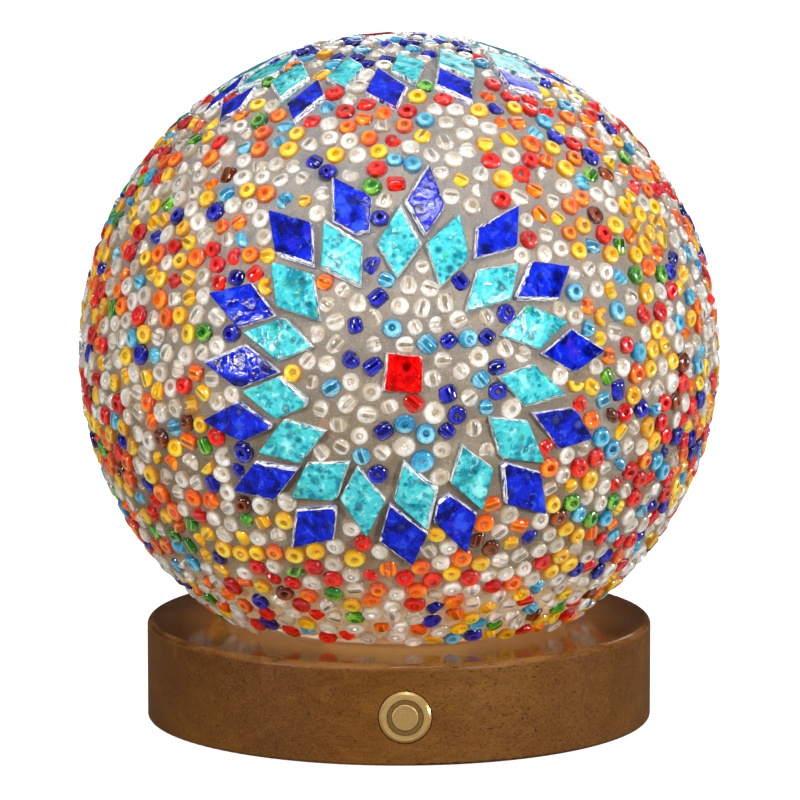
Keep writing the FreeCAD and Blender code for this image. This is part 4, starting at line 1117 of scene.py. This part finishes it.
for n in ("bead_coat", "cement_bed", "cobalt_tiles", "turquoise_tiles", "red_tiles"):
    set_mat(NODES[n], white_plastic)
# the return spring, as a copy of the spring node's mesh
coil = bpy.data.objects.new("return_spring", NODES["switch_spring"].data.copy())
bpy.context.scene.collection.objects.link(coil)
set_mat(coil, steel)
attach(coil, "lamp")
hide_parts("switch_spring")
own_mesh(coil)
missing = set(NODES) - set(own) - {"bead_coat", "cement_bed", "cobalt_tiles", "turquoise_tiles", "red_tiles"}
if missing:
    raise RuntimeError("no material for " + ", ".join(sorted(missing)))

# ------------------------------------------------------------------ stage, light, camera
me = bpy.data.meshes.new("floor")
S = 30.0
me.from_pydata([(-S, -S, 0), (S, -S, 0), (S, S, 0), (-S, S, 0)], [], [(0, 1, 2, 3)])
floor = bpy.data.objects.new("floor", me)
bpy.context.scene.collection.objects.link(floor)
floor.data.materials.append(floor_material())

world = bpy.data.worlds.new("studio")
bpy.context.scene.world = world
world.use_nodes = True
nt = world.node_tree
bg = nt.nodes["Background"]
tc = nt.nodes.new("ShaderNodeTexCoord")
sep = nt.nodes.new("ShaderNodeSeparateXYZ")
mr = nt.nodes.new("ShaderNodeMapRange")
mr.interpolation_type = "SMOOTHSTEP"
nt.links.new(tc.outputs["Generated"], sep.inputs[0])
nt.links.new(sep.outputs[2], mr.inputs["Value"])
mr.inputs["From Min"].default_value = 0.20
mr.inputs["From Max"].default_value = 0.95
mr.inputs["To Min"].default_value = 0.02
mr.inputs["To Max"].default_value = 0.34
# the camera sees a white room over the floor's edge; the lamp mirrors the dark one
seen = nt.nodes.new("ShaderNodeLightPath")
room = nt.nodes.new("ShaderNodeMix")
room.data_type = "FLOAT"
room.inputs[3].default_value = 1.6
nt.links.new(seen.outputs["Is Camera Ray"], room.inputs[0])
nt.links.new(mr.outputs["Result"], room.inputs[2])
nt.links.new(room.outputs[0], bg.inputs[1])
bg.inputs[0].default_value = (1.0, 1.0, 1.0, 1)


def area(name, loc, target, size, power, colour=(1, 1, 1)):
    d = bpy.data.lights.new(name, "AREA")
    d.shape = "RECTANGLE"
    d.size, d.size_y = size
    d.energy = power
    d.color = colour
    o = bpy.data.objects.new(name, d)
    o.location = loc
    o.rotation_euler = (Vector(target) - Vector(loc)).to_track_quat("-Z", "Y").to_euler()
    bpy.context.scene.collection.objects.link(o)
    return o


area("key", (-0.55, -1.15, 0.95), (0, 0, 0.09), (0.26, 0.26), 6.0)
area("fill", (0.85, -1.15, 0.45), (0, 0, 0.09), (0.18, 0.30), 13.5)
area("right", (1.48, -0.13, 0.18), (0, 0, 0.05), (0.12, 0.20), 5.0)
area("side", (-1.15, -0.80, 0.28), (0, 0, 0.09), (0.14, 0.24), 8.0)
area("high", (0.12, -0.64, 1.25), (0, 0, 0.09), (0.50, 0.07), 6.0)
area("back", (0.3, 1.3, 0.9), (0, 0, 0.09), (0.9, 0.6), 4.5)

cam_d = bpy.data.cameras.new("camera")
cam = bpy.data.objects.new("camera", cam_d)
bpy.context.scene.collection.objects.link(cam)
az = math.radians(1.35)
cam.location = (-1.300 * math.sin(az), -1.300 * math.cos(az), 0.2734)
aim = Vector((0.00024, 0, 0.07593))
cam.rotation_euler = (aim - cam.location).to_track_quat("-Z", "Y").to_euler()
cam_d.sensor_width = 36.0
cam_d.lens = 249.4
cam_d.clip_start = 0.05
cam_d.clip_end = 100
bpy.context.scene.camera = cam
bpy.context.scene.view_settings.view_transform = "Standard"
bpy.context.scene.view_settings.look = "None"
bpy.context.scene.cycles.use_denoising = True
